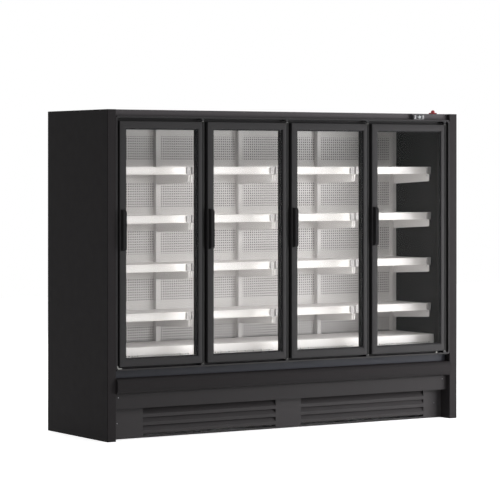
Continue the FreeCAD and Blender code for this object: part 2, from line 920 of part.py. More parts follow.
def door_edge(name, right):
    """The rounded hinge-side profile, bored top and bottom for the pins."""
    body = new_body(name)
    left = f"({right} - hinge_edge)"
    axis = f"({right} - axis_inset)"
    outline = box_outline(left, right, FRONT, back("door_thick"))
    add(body, "profile", "XY_Plane", DOOR_LOW, DOOR_HIGH, [outline])
    upright = Vector(0, 0, 1)
    for rounding, radius, place in (
        ("front_round", "edge_front_round", FRONT),
        ("rear_round", "edge_rear_round", back("door_thick")),
    ):
        round_edges(
            body, rounding, radius,
            lambda edge: runs_along(edge, upright) and near(edge.CenterOfMass.x, right)
            and near(edge.CenterOfMass.y, place),
        )
    bore = ("circle", axis, back("axis_inset"), "pin_bore")
    cut(body, "low_bore", "XY_Plane", DOOR_LOW, f"{DOOR_LOW} + pin_length + sheet_gauge",
        [bore])
    cut(body, "high_bore", "XY_Plane", f"{DOOR_HIGH} - pin_length - sheet_gauge", DOOR_HIGH,
        [bore])
    return body


def door_gasket(name, left, right):
    body = new_body(name)
    inset = "gasket_inset"
    outer = box_outline(
        f"{left} + {inset}", f"{right} - gasket_hinge_inset",
        f"{DOOR_LOW} + {inset}", f"{DOOR_HIGH} - {inset}",
    )
    inner = box_outline(
        f"{left} + {inset} + gasket_wide", f"{right} - gasket_hinge_inset - gasket_wide",
        f"{DOOR_LOW} + {inset} + gasket_wide", f"{DOOR_HIGH} - {inset} - gasket_wide",
    )
    add(body, "ring", "XZ_Plane", back("door_thick"), back("seat_depth - gasket_clear"),
        [outer, inner])
    return body


def door_handle(name, left):
    """A moulded pull, open towards the glass, closed and rounded at both ends."""
    body = new_body(name)
    near_side = f"({left} + handle_inset)"
    far_side = f"({near_side} + handle_wide)"
    low = f"({DOOR_LOW} + handle_low)"
    high = f"({low} + handle_tall)"
    proud = f"({FRONT} - handle_proud)"
    outline = box_outline(proud, FRONT, low, high)
    add(body, "bar", "YZ_Plane", near_side, far_side, [outline])
    along = Vector(1, 0, 0)
    round_edges(
        body, "ends", "handle_round",
        lambda edge: runs_along(edge, along) and near(edge.CenterOfMass.y, proud),
    )
    grip = box_outline(
        f"{near_side} + handle_web", f"{far_side} + overrun",
        f"{proud} + handle_plate", f"{FRONT} - handle_foot",
    )
    cut(body, "grip", "XY_Plane", f"{low} + handle_end", f"{high} - handle_end", [grip])
    return body


def hinge_brackets():
    """A plate, washer and pin above and below each door, seated on the surround."""
    body = new_body("hinge_brackets")
    left, right, axis = door_places(0)
    plate = box_outline(
        f"{axis} - bracket_left", f"{axis} + bracket_right",
        back("bracket_front"), back("seat_depth"),
    )
    axle = back("axis_inset")
    pin = ("circle", axis, axle, "pin_bore - 2 * pin_clear")
    ring = ("circle", axis, axle, "washer")
    high_seat = f"({SURROUND_HIGH} - lip_edge)"
    high_plate = f"({high_seat} - bracket_plate_high)"
    low_seat = f"({SURROUND_LOW} + lip_edge)"
    low_plate = f"({low_seat} + bracket_plate_low)"
    features = [
        add(body, "high_plate", "XY_Plane", high_plate, high_seat, [plate]),
        add(body, "high_washer", "XY_Plane", f"{DOOR_HIGH} + washer_clear", high_plate, [ring]),
        add(body, "high_pin", "XY_Plane", f"{DOOR_HIGH} - pin_length", high_plate, [pin]),
        add(body, "low_plate", "XY_Plane", low_seat, low_plate, [plate]),
        add(body, "low_washer", "XY_Plane", low_plate, f"{DOOR_LOW} - washer_clear", [ring]),
        add(body, "low_pin", "XY_Plane", low_plate, f"{DOOR_LOW} + pin_length", [pin]),
    ]
    repeat(body, "row", features, "X_Axis", DOOR_PITCH, DOORS)
    return body


# Cold space
def upright_left(number):
    """The left side of a shelf upright: at the walls, or behind a mullion."""
    if number == 0:
        return f"(-{HALF_ROW})"
    if number == DOORS:
        return f"({HALF_ROW} - upright_wide)"
    return f"({gap_middle(number)} - upright_wide / 2)"


def uprights():
    """Channel posts that carry the shelves, from the tub floor to the ceiling."""
    body = new_body("uprights")
    front = back(UPRIGHT_FRONT)
    rear = back(PANEL_FRONT)
    loops = []
    for number in range(DOORS + 1):
        left = upright_left(number)
        right = f"({left} + upright_wide)"
        loops.append([
            (left, front),
            (right, front),
            (right, rear),
            (f"{right} - blade_sheet", rear),
            (f"{right} - blade_sheet", f"{front} + blade_sheet"),
            (f"{left} + blade_sheet", f"{front} + blade_sheet"),
            (f"{left} + blade_sheet", rear),
            (left, rear),
        ])
    add(body, "channels", "XY_Plane", TUB_FLOOR, CEILING, loops)
    return body


def bay_outlines(low, high):
    """One outline for each bay, from upright to upright, with a small joint."""
    loops = []
    for number in range(DOORS):
        left = f"({upright_left(number)} + upright_wide / 2)"
        right = f"({upright_left(number + 1)} + upright_wide / 2)"
        left = f"(-{HALF_ROW})" if number == 0 else left
        right = HALF_ROW if number == DOORS - 1 else right
        loops.append(box_outline(
            f"{left} + panel_gap / 2", f"{right} - panel_gap / 2", low, high
        ))
    return loops


def back_panels():
    """The rear sheets of the cold space, held between the uprights and the duct."""
    body = new_body("back_panels")
    front = back(PANEL_FRONT)
    add(body, "sheets", "XZ_Plane", front, f"{front} + sheet_gauge",
        bay_outlines(DECK_TOP, CEILING))
    return body


def deck_pans():
    """The low deck: a top sheet and a slotted front apron on two legs in each bay."""
    body = new_body("deck_pans")
    front = back("deck_back")
    rear = back(UPRIGHT_FRONT)
    add(body, "top_sheets", "XY_Plane", f"{DECK_TOP} - sheet_gauge", DECK_TOP,
        bay_outlines(front, rear))
    apron = f"({DECK_TOP} - deck_front_high)"
    add(body, "aprons", "XZ_Plane", front, f"{front} + sheet_gauge",
        bay_outlines(apron, DECK_TOP))
    for number, outline in enumerate(bay_outlines(TUB_FLOOR, apron)):
        left = outline[0][0]
        right = outline[1][0]
        low_left = box_outline(left, f"{left} + deck_leg", TUB_FLOOR, apron)
        low_right = box_outline(f"{right} - deck_leg", right, TUB_FLOOR, apron)
        add(body, f"legs_{number + 1}", "XZ_Plane", front, f"{front} + sheet_gauge",
            [low_left, low_right])
        slot_left = f"({left} + deck_leg)"
        slot = box_outline(
            slot_left, f"{slot_left} + deck_slot_wide",
            f"{apron} + deck_slot_low", f"{apron} + deck_slot_low + deck_slot_high",
        )
        air = cut(body, f"air_slot_{number + 1}", "XZ_Plane", f"{front} - overrun",
                  f"{front} + sheet_gauge", [slot])
        room = value(f"{right} - {left} - 2 * deck_leg - deck_slot_wide")
        count = int(room / value("deck_slot_pitch")) + 1
        repeat(body, f"air_slots_{number + 1}", [air], "X_Axis", "deck_slot_pitch", count)
    return body


SHELF_FRONT = "(shelf_setback + rail_depth)"
RAIL_LOW = f"({DECK_TOP} + first_rail)"
SHELF_TOP = f"({RAIL_LOW} + rail_height - rail_over_shelf)"
SHELF_PITCH = (
    f"(({CEILING} - {DECK_TOP} - first_rail - top_shelf_room) / {SHELF_LEVELS - 1})"
)
SHELF_LEFT = f"({FIRST_DOOR} + shelf_inset)"
SHELF_RIGHT = f"({FIRST_DOOR} + {DOOR_WIDE} - shelf_inset)"


def shelf_grid(body, name, features):
    """One copy for each bay and each level."""
    repeat(body, name, features, "X_Axis", DOOR_PITCH, DOORS,
           ("Z_Axis", SHELF_PITCH, SHELF_LEVELS))


def shelves():
    """Sheet shelves folded down at the front and sides, open below and behind."""
    body = new_body("shelves")
    front = back(SHELF_FRONT)
    rear = back(f"{UPRIGHT_FRONT} - shelf_rear_clear")
    outline = box_outline(SHELF_LEFT, SHELF_RIGHT, front, rear)
    low = f"({SHELF_TOP} - shelf_flange)"
    board = add(body, "board", "XY_Plane", low, SHELF_TOP, [outline])
    inside = box_outline(
        f"{SHELF_LEFT} + shelf_sheet", f"{SHELF_RIGHT} - shelf_sheet",
        f"{front} + shelf_sheet", f"{rear} + overrun",
    )
    under = cut(body, "underside", "XY_Plane", low, f"{SHELF_TOP} - shelf_sheet", [inside])
    shelf_grid(body, "grid", [board, under])
    return body


def price_rails():
    """Label channels along the shelf fronts, open to the front between small lips."""
    body = new_body("price_rails")
    front = back("shelf_setback")
    rear = back(SHELF_FRONT)
    low = RAIL_LOW
    high = f"({RAIL_LOW} + rail_height)"
    inner = f"({rear} - rail_wall)"
    outline = [
        (front, low),
        (rear, low),
        (rear, high),
        (front, high),
        (front, f"{high} - rail_lip"),
        (f"{front} + rail_wall", f"{high} - rail_lip"),
        (f"{front} + rail_wall", f"{high} - rail_wall"),
        (inner, f"{high} - rail_wall"),
        (inner, f"{low} + rail_wall"),
        (f"{front} + rail_wall", f"{low} + rail_wall"),
        (f"{front} + rail_wall", f"{low} + rail_lip"),
        (front, f"{low} + rail_lip"),
    ]
    rail = add(body, "rail", "YZ_Plane", SHELF_LEFT, SHELF_RIGHT, [outline])
    shelf_grid(body, "rails", [rail])
    return body


def shelf_brackets():
    """Plates inside the shelves' side flanges, from the uprights to the front."""
    body = new_body("shelf_brackets")
    front = back(f"{SHELF_FRONT} + shelf_sheet")
    rear = back(UPRIGHT_FRONT)
    high = f"({SHELF_TOP} - shelf_sheet)"
    low = f"({RAIL_LOW} - bracket_drop)"
    outline = [
        (front, low),
        (rear, f"{low} - bracket_heel"),
        (rear, high),
        (front, high),
    ]
    hole = ("circle", f"{front} + bracket_hole_in", f"{RAIL_LOW} - bracket_hole_drop",
            "bracket_hole")
    left = f"({SHELF_LEFT} + shelf_sheet)"
    right = f"({SHELF_RIGHT} - shelf_sheet)"
    left_plate = add(body, "left_plate", "YZ_Plane", left, f"{left} + bracket_sheet",
                     [outline, hole])
    right_plate = add(body, "right_plate", "YZ_Plane", f"{right} - bracket_sheet", right,
                      [outline, hole])
    along = Vector(1, 0, 0)
    nose = round_edges(
        body, "nose", "bracket_nose_round",
        lambda edge: runs_along(edge, along) and near(edge.CenterOfMass.y, front)
        and near(edge.CenterOfMass.z, low),
    )
    shelf_grid(body, "brackets", [left_plate, right_plate, nose])
    return body


# Machinery behind the kick plate, and the cold coil under the deck
COLD_COIL_FRONT = f"({UPRIGHT_FRONT} - cold_rear_clear - cold_coil_thick)"
COLD_FAN_FRONT = f"({COLD_COIL_FRONT} - cold_fan_gap)"
TRAY_TOP = f"({TRAY} + blade_sheet)"


def compressor():
    """A domed can with a rim and a terminal box, on a foot plate with four mounts."""
    body = new_body("compressor")
    across = f"({HALF_ROW} - compressor_right)"
    deep = back("compressor_back")
    half = "compressor_foot / 2"
    low = f"({TRAY_TOP} + compressor_foot_high)"
    high = f"({low} + compressor_high)"
    mounts = [
        ("circle", f"{across} + {side_x} * ({half} - compressor_mount)",
         f"{deep} + {side_y} * ({half} - compressor_mount)", "compressor_mount")
        for side_x in (-1, 1)
        for side_y in (-1, 1)
    ]
    plate = box_outline(
        f"{across} - {half}", f"{across} + {half}", f"{deep} - {half}", f"{deep} + {half}"
    )
    add(body, "can", "XY_Plane", low, high, [("circle", across, deep, "compressor_can")])
    round_edges(
        body, "dome", "compressor_round", lambda edge: near(edge.CenterOfMass.z, high)
    )
    rim = f"({low} + compressor_high / 2)"
    add(body, "rim", "XY_Plane", rim, f"{rim} + compressor_lip",
        [("circle", across, deep, "compressor_can + 2 * compressor_lip")])
    terminals = box_outline(
        f"{across} - terminal_wide / 2", f"{across} + terminal_wide / 2",
        f"{low} + compressor_high / 4", f"{low} + compressor_high / 4 + terminal_high",
    )
    add(body, "terminal_box", "XZ_Plane",
        f"{deep} - compressor_can / 2 - terminal_out", deep, [terminals])
    add(body, "foot_plate", "XY_Plane", f"{low} - compressor_lip", low, [plate])
    add(body, "mounts", "XY_Plane", TRAY_TOP, f"{low} - compressor_lip", mounts)
    return body


def finned_block(name, left, wide, front, thick, low, high, pitch, gap):
    """A coil block cut from both sides into upright fins, with return bends at its ends."""
    body = new_body(name)
    rear = f"({front} + {thick})"
    right = f"({left} + {wide})"
    add(body, "block", "XY_Plane", low, high, [box_outline(left, right, front, rear)])
    first = f"({left} + {pitch} - {gap})"
    grooves = [
        box_outline(first, f"{first} + {gap}", front, f"{front} + fin_cut"),
        box_outline(first, f"{first} + {gap}", f"{rear} - fin_cut", rear),
    ]
    groove = cut(body, "grooves", "XY_Plane", low, high, grooves)
    count = int(value(f"({wide}) / {pitch}"))
    repeat(body, "fins", [groove], "X_Axis", pitch, count)
    bends = int(value(f"({high} - {low}) / (2 * bend_span)"))
    rows = [
        (f"{front} + {column} * {thick} / {2 * TUBE_COLUMNS}",
         f"({low} + {high}) / 2 + {2 * bend - bends + 0.5} * bend_span")
        for column in range(1, 2 * TUBE_COLUMNS, 2)
        for bend in range(bends)
    ]
    outlines = [
        box_outline(f"{deep} - coil_tube / 2", f"{deep} + coil_tube / 2",
                    f"{up} - coil_tube / 2", f"{up} + bend_span + coil_tube / 2")
        for deep, up in rows
    ]
    add(body, "left_bends", "YZ_Plane", f"{left} - bend_reach", left, outlines)
    add(body, "right_bends", "YZ_Plane", right, f"{right} + bend_reach", outlines)
    inside = value(f"{left} - bend_reach / 4"), value(f"{right} + bend_reach / 4")
    round_edges(
        body, "bend_rounds", "coil_tube_round",
        lambda edge: not inside[0] < edge.CenterOfMass.x < inside[1],
    )
    return body


def condenser_coil():
    return finned_block(
        "condenser_coil", COIL_LEFT, "coil_wide", back("coil_back"), "coil_thick",
        TRAY_TOP, f"({TRAY_TOP} + coil_high)", "fin_pitch", "fin_gap",
    )


def evaporator_coil():
    low = f"({TUB_FLOOR} + pan_sheet)"
    return finned_block(
        "evaporator_coil", "(-cold_coil_left)", "(2 * cold_coil_left)",
        back(COLD_COIL_FRONT), "cold_coil_thick", low, f"({low} + cold_coil_high)",
        "cold_fin_pitch", "cold_fin_gap",
    )


CONDENSER_FAN = {
    "across": f"({COIL_LEFT} + coil_wide / 2)",
    "front": "(coil_back + coil_thick)",
    "low": TRAY_TOP,
    "tall": "coil_high",
    "bore": "fan_bore",
    "depth": "fan_depth",
    "hub": "hub_size",
    "hub_depth": "hub_depth",
    "motor": "motor_size",
    "motor_depth": "motor_depth",
    "arm": "motor_arm",
    "reach": "shaft_reach",
}
COLD_FAN = {
    "across": "(0 - cold_fan_place)",
    "front": COLD_FAN_FRONT,
    "low": f"({TUB_FLOOR} + pan_sheet)",
    "tall": "cold_coil_high",
    "bore": "cold_fan_bore",
    "depth": "cold_depth",
    "hub": "cold_hub",
    "hub_depth": "cold_hub_depth",
    "motor": "cold_motor",
    "motor_depth": "cold_motor_depth",
    "arm": "cold_arm",
    "reach": "cold_reach",
}


def fan_middle(fan):
    return f"({fan['low']} + {fan['tall']} / 2)"


def fan_frame(name, fan):
    """A square plate and collar round the rotor, with the motor on two crossed arms."""
    body = new_body(name)
    across = fan["across"]
    up = fan_middle(fan)
    half = f"({fan['tall']} / 2)"
    bore = fan["bore"]
    front = back(fan["front"])
    plate_back = f"({front} + fan_plate)"
    collar_back = f"({front} + {fan['depth']})"
    arm_back = f"({collar_back} + fan_plate)"
    square = box_outline(
        f"{across} - {half}", f"{across} + {half}", f"{up} - {half}", f"{up} + {half}"
    )
    features = [
        add(body, "plate", "XZ_Plane", front, plate_back,
            [square, ("circle", across, up, bore)]),
        add(body, "collar", "XZ_Plane", plate_back, collar_back,
            [("circle", across, up, f"{bore} + 2 * fan_plate"),
             ("circle", across, up, bore)]),
        add(body, "level_arm", "XZ_Plane", collar_back, arm_back, [box_outline(
            f"{across} - {bore} / 2 - fan_plate", f"{across} + {bore} / 2 + fan_plate",
            f"{up} - {fan['arm']} / 2", f"{up} + {fan['arm']} / 2",
        )]),
        add(body, "upright_arm", "XZ_Plane", collar_back, arm_back, [box_outline(
            f"{across} - {fan['arm']} / 2", f"{across} + {fan['arm']} / 2",
            f"{up} - {bore} / 2 - fan_plate", f"{up} + {bore} / 2 + fan_plate",
        )]),
        add(body, "motor", "XZ_Plane", collar_back, f"{arm_back} + {fan['motor_depth']}",
            [("circle", across, up, fan["motor"])]),
        add(body, "shaft", "XZ_Plane", f"{collar_back} - motor_gap - {fan['reach']}",
            collar_back, [("circle", across, up, "shaft - 2 * shaft_clear")]),
    ]
    return body, features


def condenser_fan_frame():
    body, features = fan_frame("condenser_fan_frame", CONDENSER_FAN)
    return body


def evaporator_fan_frames():
    body, features = fan_frame("evaporator_fan_frames", COLD_FAN)
    repeat(body, "pair", features, "X_Axis", "2 * cold_fan_place", COIL_FANS)
    return body


def fan_rotor(name, fan, across):
    """A bored hub with twisted blades, drawn about its own Y axis."""
    body = new_body(name)
    half = f"({fan['hub_depth']} / 2)"
    add(body, "hub", "XZ_Plane", f"-{half}", half, [("circle", "0", "0", fan["hub"])])
    root = new_sketch(body, "root", "XY_Plane", f"{fan['hub']} / 3",
                      [blade_section(f"{fan['hub']} / 3", f"{fan['hub_depth']} / 3")])
    tip = new_sketch(body, "tip", "XY_Plane", f"{fan['bore']} / 2 - fan_clear",
                     [blade_section(f"{fan['bore']} / 6", f"{fan['hub_depth']} / 4")])
    blade = body.newObject("PartDesign::AdditiveLoft", "fan_blade")
    blade.Profile = root
    blade.Sections = [tip]
    blade.Ruled = True
    doc.recompute()
    ring = body.newObject("PartDesign::PolarPattern", "fan_blades")
    ring.Originals = [blade]
    ring.Axis = (origin_part(body, "Y_Axis"), [""])
    ring.Angle = 360
    ring.Occurrences = FAN_BLADES
    body.Tip = ring
    doc.recompute()
    cut(body, "shaft_bore", "XZ_Plane", f"{half} - {fan['reach']} - shaft_room", half,
        [("circle", "0", "0", "shaft")])
    set_size(body, "Placement.Base.x", across)
    place = f"{fan['front']} + {fan['depth']} - motor_gap - {fan['hub_depth']} / 2"
    set_size(body, "Placement.Base.y", back(place))
    set_size(body, "Placement.Base.z", fan_middle(fan))
    doc.recompute()
    return body


def blade_section(half, twist):
    """A thin slanted section of a fan blade."""
    thick = "blade_thick / 2"
    return [
        (f"-{half}", f"{twist} - {thick}"),
        (half, f"-{twist} - {thick}"),
        (half, f"-{twist} + {thick}"),
        (f"-{half}", f"{twist} + {thick}"),
    ]


def drain_pan():
    """A shallow tray under the cold coil and its fans."""
    body = new_body("drain_pan")
    front = back(f"{COLD_FAN_FRONT} - pan_front_room")
    rear = back(f"{UPRIGHT_FRONT} - pan_clear")
    outline = box_outline("-pan_left", "pan_left", front, rear)
    add(body, "tray", "XY_Plane", TUB_FLOOR, f"{TUB_FLOOR} + pan_rim", [outline])
    inside = box_outline(
        "pan_sheet - pan_left", "pan_left - pan_sheet",
        f"{front} + pan_sheet", f"{rear} - pan_sheet",
    )
    cut(body, "hollow", "XY_Plane", f"{TUB_FLOOR} + pan_sheet", f"{TUB_FLOOR} + pan_rim",
        [inside])
    return body


# Roof valve
VALVE_ACROSS = f"({HALF_ROW} - valve_right)"
VALVE_TOP = f"({ROOF_TOP} + valve_body_high)"


def roof_valve():
    """The valve's body on the roof, its stem, and the stub of its pipe."""
    body = new_body("roof_valve")
    deep = back("valve_back")
    add(body, "seat", "XY_Plane", ROOF_TOP, VALVE_TOP,
        [("circle", VALVE_ACROSS, deep, "valve_body")])
    add(body, "stem", "XY_Plane", VALVE_TOP, f"{VALVE_TOP} + valve_stem_high",
        [("circle", VALVE_ACROSS, deep, "valve_stem - 2 * shaft_clear")])
    add(body, "pipe", "XZ_Plane", deep, f"{deep} + valve_pipe_long",
        [("circle", VALVE_ACROSS, f"{ROOF_TOP} + valve_body_high / 2", "valve_pipe")])
    return body


def valve_handle():
    """A butterfly handle, drawn about its own Z axis."""
    body = new_body("valve_handle")
    add(body, "hub", "XY_Plane", "0", "valve_hub_high", [("circle", "0", "0", "valve_hub")])
    wings = [
        ("-wing_span / 2", "-wing_thick / 2"),
        ("0", "-wing_root / 2"),
        ("wing_span / 2", "-wing_thick / 2"),
        ("wing_span / 2", "wing_thick / 2"),
        ("0", "wing_root / 2"),
        ("-wing_span / 2", "wing_thick / 2"),
    ]
    add(body, "wings", "XY_Plane", "0", "wing_high", [wings])
    upright = Vector(0, 0, 1)
    round_edges(
        body, "wing_ends", "wing_thick / 2.5",
        lambda edge: runs_along(edge, upright)
        and near(abs(edge.CenterOfMass.x), "wing_span / 2"),
    )
    cut(body, "stem_bore", "XY_Plane", "0", "valve_stem_high + valve_clear",
        [("circle", "0", "0", "valve_stem")])
    set_size(body, "Placement.Base.x", VALVE_ACROSS)
    set_size(body, "Placement.Base.y", back("valve_back"))
    set_size(body, "Placement.Base.z", f"{VALVE_TOP} + valve_clear")
    doc.recompute()
    return body


# Temperature controller on the header
POD_RIGHT = f"({HALF_ROW} - pod_right)"
POD_ACROSS = f"({POD_RIGHT} - pod_wide / 2)"
POD_UP = f"({SURROUND_HIGH} + pod_high / 2)"


def key_places():
    return [
        (f"({POD_ACROSS} + {side} * key_side)", f"({POD_UP} + {rise} * key_rise)")
        for side in (-1, 1)
        for rise in (1, -1)
    ]


def controller_housing():
    """The controller's pod, with a sunk window and a pocket for each key."""
    body = new_body("controller_housing")
    outline = box_outline(
        f"{POD_RIGHT} - pod_wide", POD_RIGHT, SURROUND_HIGH, f"{SURROUND_HIGH} + pod_high"
    )
    add(body, "pod", "XZ_Plane", FRONT, back("header_back"), [outline])
    along = Vector(0, 1, 0)
    round_edges(body, "corners", "pod_round", lambda edge: runs_along(edge, along))
    window = box_outline(
        f"{POD_ACROSS} - window_wide / 2", f"{POD_ACROSS} + window_wide / 2",
        f"{POD_UP} - window_high / 2", f"{POD_UP} + window_high / 2",
    )
    cut(body, "window", "XZ_Plane", FRONT, back("window_deep"), [window])
    pockets = [
        box_outline(
            f"{across} - key_wide / 2 - key_clear", f"{across} + key_wide / 2 + key_clear",
            f"{up} - key_high / 2 - key_clear", f"{up} + key_high / 2 + key_clear",
        )
        for across, up in key_places()
    ]
    cut(body, "key_pockets", "XZ_Plane", FRONT,
        back("key_depth - key_proud + key_travel_room"), pockets)
    return body


def controller_key(number, across, up):
    body = new_body(f"controller_key_{number}")
    outline = box_outline(
        f"{across} - key_wide / 2", f"{across} + key_wide / 2",
        f"{up} - key_high / 2", f"{up} + key_high / 2",
    )
    add(body, "key", "XZ_Plane", f"{FRONT} - key_proud", back("key_depth - key_proud"),
        [outline])
    along = Vector(0, 1, 0)
    round_edges(body, "corners", "key_round", lambda edge: runs_along(edge, along))
    return body


nodes = [
    end_wall("end_wall_left", f"-{HALF_ROW} - end_wall", f"-{HALF_ROW}"),
    end_wall("end_wall_right", HALF_ROW, f"{HALF_ROW} + end_wall"),
    back_wall(),
    tub_floor(),
    roof_panel(),
    header_fascia(),
    door_surround(),
    mullions(),
    led_strips(),
    sill_panel(),
    bumper(),
    bumper_end_caps(),
    cove_panel(),
    kick_plate(),
    base_frame(),
    levelling_feet(),
    rear_grille(),
    hinge_brackets(),
    uprights(),
    back_panels(),
    deck_pans(),
    shelves(),
    price_rails(),
    shelf_brackets(),
    compressor(),
    condenser_coil(),
    condenser_fan_frame(),
    fan_rotor("condenser_fan_rotor", CONDENSER_FAN, CONDENSER_FAN["across"]),
    evaporator_coil(),
    evaporator_fan_frames(),
    fan_rotor("evaporator_rotor_1", COLD_FAN, "-cold_fan_place"),
    fan_rotor("evaporator_rotor_2", COLD_FAN, "cold_fan_place"),
    drain_pan(),
    roof_valve(),
    valve_handle(),
    controller_housing(),
]
for key_number, (key_across, key_up) in enumerate(key_places(), 1):
    nodes.append(controller_key(key_number, key_across, key_up))
for door in range(DOORS):
    door_left, door_right, door_axis = door_places(door)
    nodes += [
        door_frame(f"door_frame_{door + 1}", door_left, door_right),
        door_edge(f"door_edge_{door + 1}", door_right),
        door_glass(f"door_glass_{door + 1}", door_left, door_right),
        door_gasket(f"door_gasket_{door + 1}", door_left, door_right),
        door_handle(f"door_handle_{door + 1}", door_left),
    ]
doc.recompute()

for item in doc.Objects:
    if "Invalid" in item.State or "Error" in item.State:
        raise ValueError(f"{item.Label} did not build: {item.State}")
for node in nodes:
    if node.Shape.isNull() or not node.Shape.isValid():
        raise ValueError(f"{node.Label} has no valid shape")

os.makedirs("parts", exist_ok=True)
for node in nodes:
    node.Shape.exportStep(f"parts/{node.Label}.step")
print(len(nodes), "pieces written")
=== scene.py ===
import math

import bmesh
import bpy
import numpy as np
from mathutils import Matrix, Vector


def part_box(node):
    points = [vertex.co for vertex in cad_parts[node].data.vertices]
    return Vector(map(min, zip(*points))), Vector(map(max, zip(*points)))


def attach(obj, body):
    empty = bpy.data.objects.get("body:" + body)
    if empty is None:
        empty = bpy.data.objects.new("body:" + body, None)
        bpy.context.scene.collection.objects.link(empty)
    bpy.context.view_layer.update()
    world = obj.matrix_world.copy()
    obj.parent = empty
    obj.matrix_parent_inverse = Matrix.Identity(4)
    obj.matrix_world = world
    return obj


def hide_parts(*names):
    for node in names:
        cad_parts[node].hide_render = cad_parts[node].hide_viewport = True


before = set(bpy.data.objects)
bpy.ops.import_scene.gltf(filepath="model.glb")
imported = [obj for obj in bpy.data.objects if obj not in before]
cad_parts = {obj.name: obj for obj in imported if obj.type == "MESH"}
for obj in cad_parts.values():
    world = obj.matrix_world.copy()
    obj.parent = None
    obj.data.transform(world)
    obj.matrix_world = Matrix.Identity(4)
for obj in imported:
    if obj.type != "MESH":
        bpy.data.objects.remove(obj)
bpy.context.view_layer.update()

# The photograph's view
# A level camera at about eye height, to the left of the case and 15 m away. Its lens is
# shifted down, so upright edges stay upright.
camera_turn = 0.5620308
camera_data = bpy.data.cameras.new("photo_camera")
camera_data.sensor_width = 36
camera_data.lens = 171.2658
camera_data.shift_y = -0.1664
camera_data.clip_end = 60
camera = bpy.data.objects.new("photo_camera", camera_data)
camera.location = (-8.1893609, -12.8998588, 1.6534994)
camera.rotation_euler = (math.pi / 2, 0, -camera_turn)
bpy.context.collection.objects.link(camera)
bpy.context.scene.camera = camera


# Walls, roof and rear of the case
# Foam-filled panels with a skin of sheet steel, powder coated satin black. The end walls
# stand on the floor and carry everything; the back wall and roof are screwed to them.
MM = 0.001
wall_low, wall_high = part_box("end_wall_right")
inner, front = wall_low[:2]
outer, rear = wall_high[:2]


def linear(tint):
    """sRGB hex to linear light: above the toe, ((c + 0.055) / 1.055) to the power 2.4."""
    channel = np.array([int(tint[place:place + 2], 16) for place in (1, 3, 5)]) / 255
    toe = channel / 12.92
    curve = ((channel + 0.055) / 1.055) ** 2.4
    return (*np.where(channel > 0.04045, curve, toe), 1)


def add_node(tree, kind, settings=None, inputs=None):
    """Adds one node. An input is a value, or another node's output to link."""
    node = tree.nodes.new(kind)
    for name, setting in (settings or {}).items():
        setattr(node, name, setting)
    for name, given in (inputs or {}).items():
        if isinstance(given, bpy.types.NodeSocket):
            tree.links.new(given, node.inputs[name])
        else:
            node.inputs[name].default_value = given
    return node


def blank_material(name):
    """A new material whose node tree is empty."""
    material = bpy.data.materials.new(name)
    material.use_nodes = True
    material.node_tree.nodes.clear()
    return material


def surface(name, tint, rough, grain, depth, mottle=0.12, patch=60, metal=0,
            specular=0.5, stretch=(1, 1, 1)):
    """A finish of one base colour. Slow noise, patch mm wide, mottles the colour and the
    roughness; fine noise, grain mm wide and depth mm high, raises the bump. stretch draws
    both out along an axis, as rolling and drawing do."""
    material = blank_material(name)
    tree = material.node_tree
    place = add_node(tree, "ShaderNodeTexCoord").outputs["Object"]
    place = add_node(tree, "ShaderNodeMapping", inputs={
        "Vector": place, "Scale": stretch}).outputs["Vector"]
    slow = add_node(tree, "ShaderNodeTexNoise", inputs={
        "Vector": place, "Scale": 1 / (patch * MM), "Detail": 3.0}).outputs["Fac"]
    fine = add_node(tree, "ShaderNodeTexNoise", inputs={
        "Vector": place, "Scale": 1 / (grain * MM), "Detail": 2.0}).outputs["Fac"]
    colour = np.array(linear(tint)[:3])
    tints = add_node(tree, "ShaderNodeMix", {"data_type": "RGBA"}, {
        "Factor": slow,
        "A": (*colour * (1 - mottle), 1), "B": (*np.minimum(colour * (1 + mottle), 1), 1)})
    roughs = add_node(tree, "ShaderNodeMapRange", inputs={
        "Value": slow, "To Min": rough * 0.9, "To Max": min(rough * 1.1, 1)})
    bump = add_node(tree, "ShaderNodeBump", inputs={
        "Height": fine, "Strength": 0.6, "Distance": depth * MM})
    shader = add_node(tree, "ShaderNodeBsdfPrincipled", inputs={
        "Base Color": tints.outputs["Result"], "Roughness": roughs.outputs["Result"],
        "Metallic": metal, "Specular IOR Level": specular,
        "Normal": bump.outputs["Normal"]})
    add_node(tree, "ShaderNodeOutputMaterial", inputs={
        "Surface": shader.outputs["BSDF"]})
    return material


def dress(material, *names):
    """Gives carried-over CAD nodes their finish."""
    for name in names:
        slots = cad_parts[name].data.materials
        slots.clear()
        slots.append(material)


# Satin black polyester powder coat: a dull, even black with a very fine orange peel
COAT_BLACK = "#1a1819"
wall_coat = surface("satin_black_powder_coat", COAT_BLACK, 0.6, 1.2, 0.02, 0.05,
                    specular=0.03)
dress(wall_coat, "roof_panel", "back_wall")
# The end walls' front edges are painted a shade lighter than their outer sides: painted
# light on the faces turned to the lamps, painted shade on the sides turned away
end_coat = surface("satin_black_end_coat", "#2b292a", 0.6, 1.2, 0.02, 0.05, specular=0.05)
tree = end_coat.node_tree
parts = add_node(tree, "ShaderNodeSeparateXYZ", inputs={
    "Vector": add_node(tree, "ShaderNodeTexCoord").outputs["Object"]}).outputs
across = add_node(tree, "ShaderNodeMath", {"operation": "ABSOLUTE"}, {0: parts["X"]})
painted_side_shade = add_node(tree, "ShaderNodeMapRange", inputs={
    "Value": across.outputs[0], "From Min": outer - 3 * MM, "From Max": outer - 0.5 * MM})
base = tree.nodes["Principled BSDF"].inputs["Base Color"]
mixed = add_node(tree, "ShaderNodeMix", {"data_type": "RGBA"}, {
    "Factor": painted_side_shade.outputs["Result"], "A": base.links[0].from_socket,
    "B": linear(COAT_BLACK)})
tree.links.new(mixed.outputs["Result"], base)
dress(end_coat, "end_wall_left", "end_wall_right")
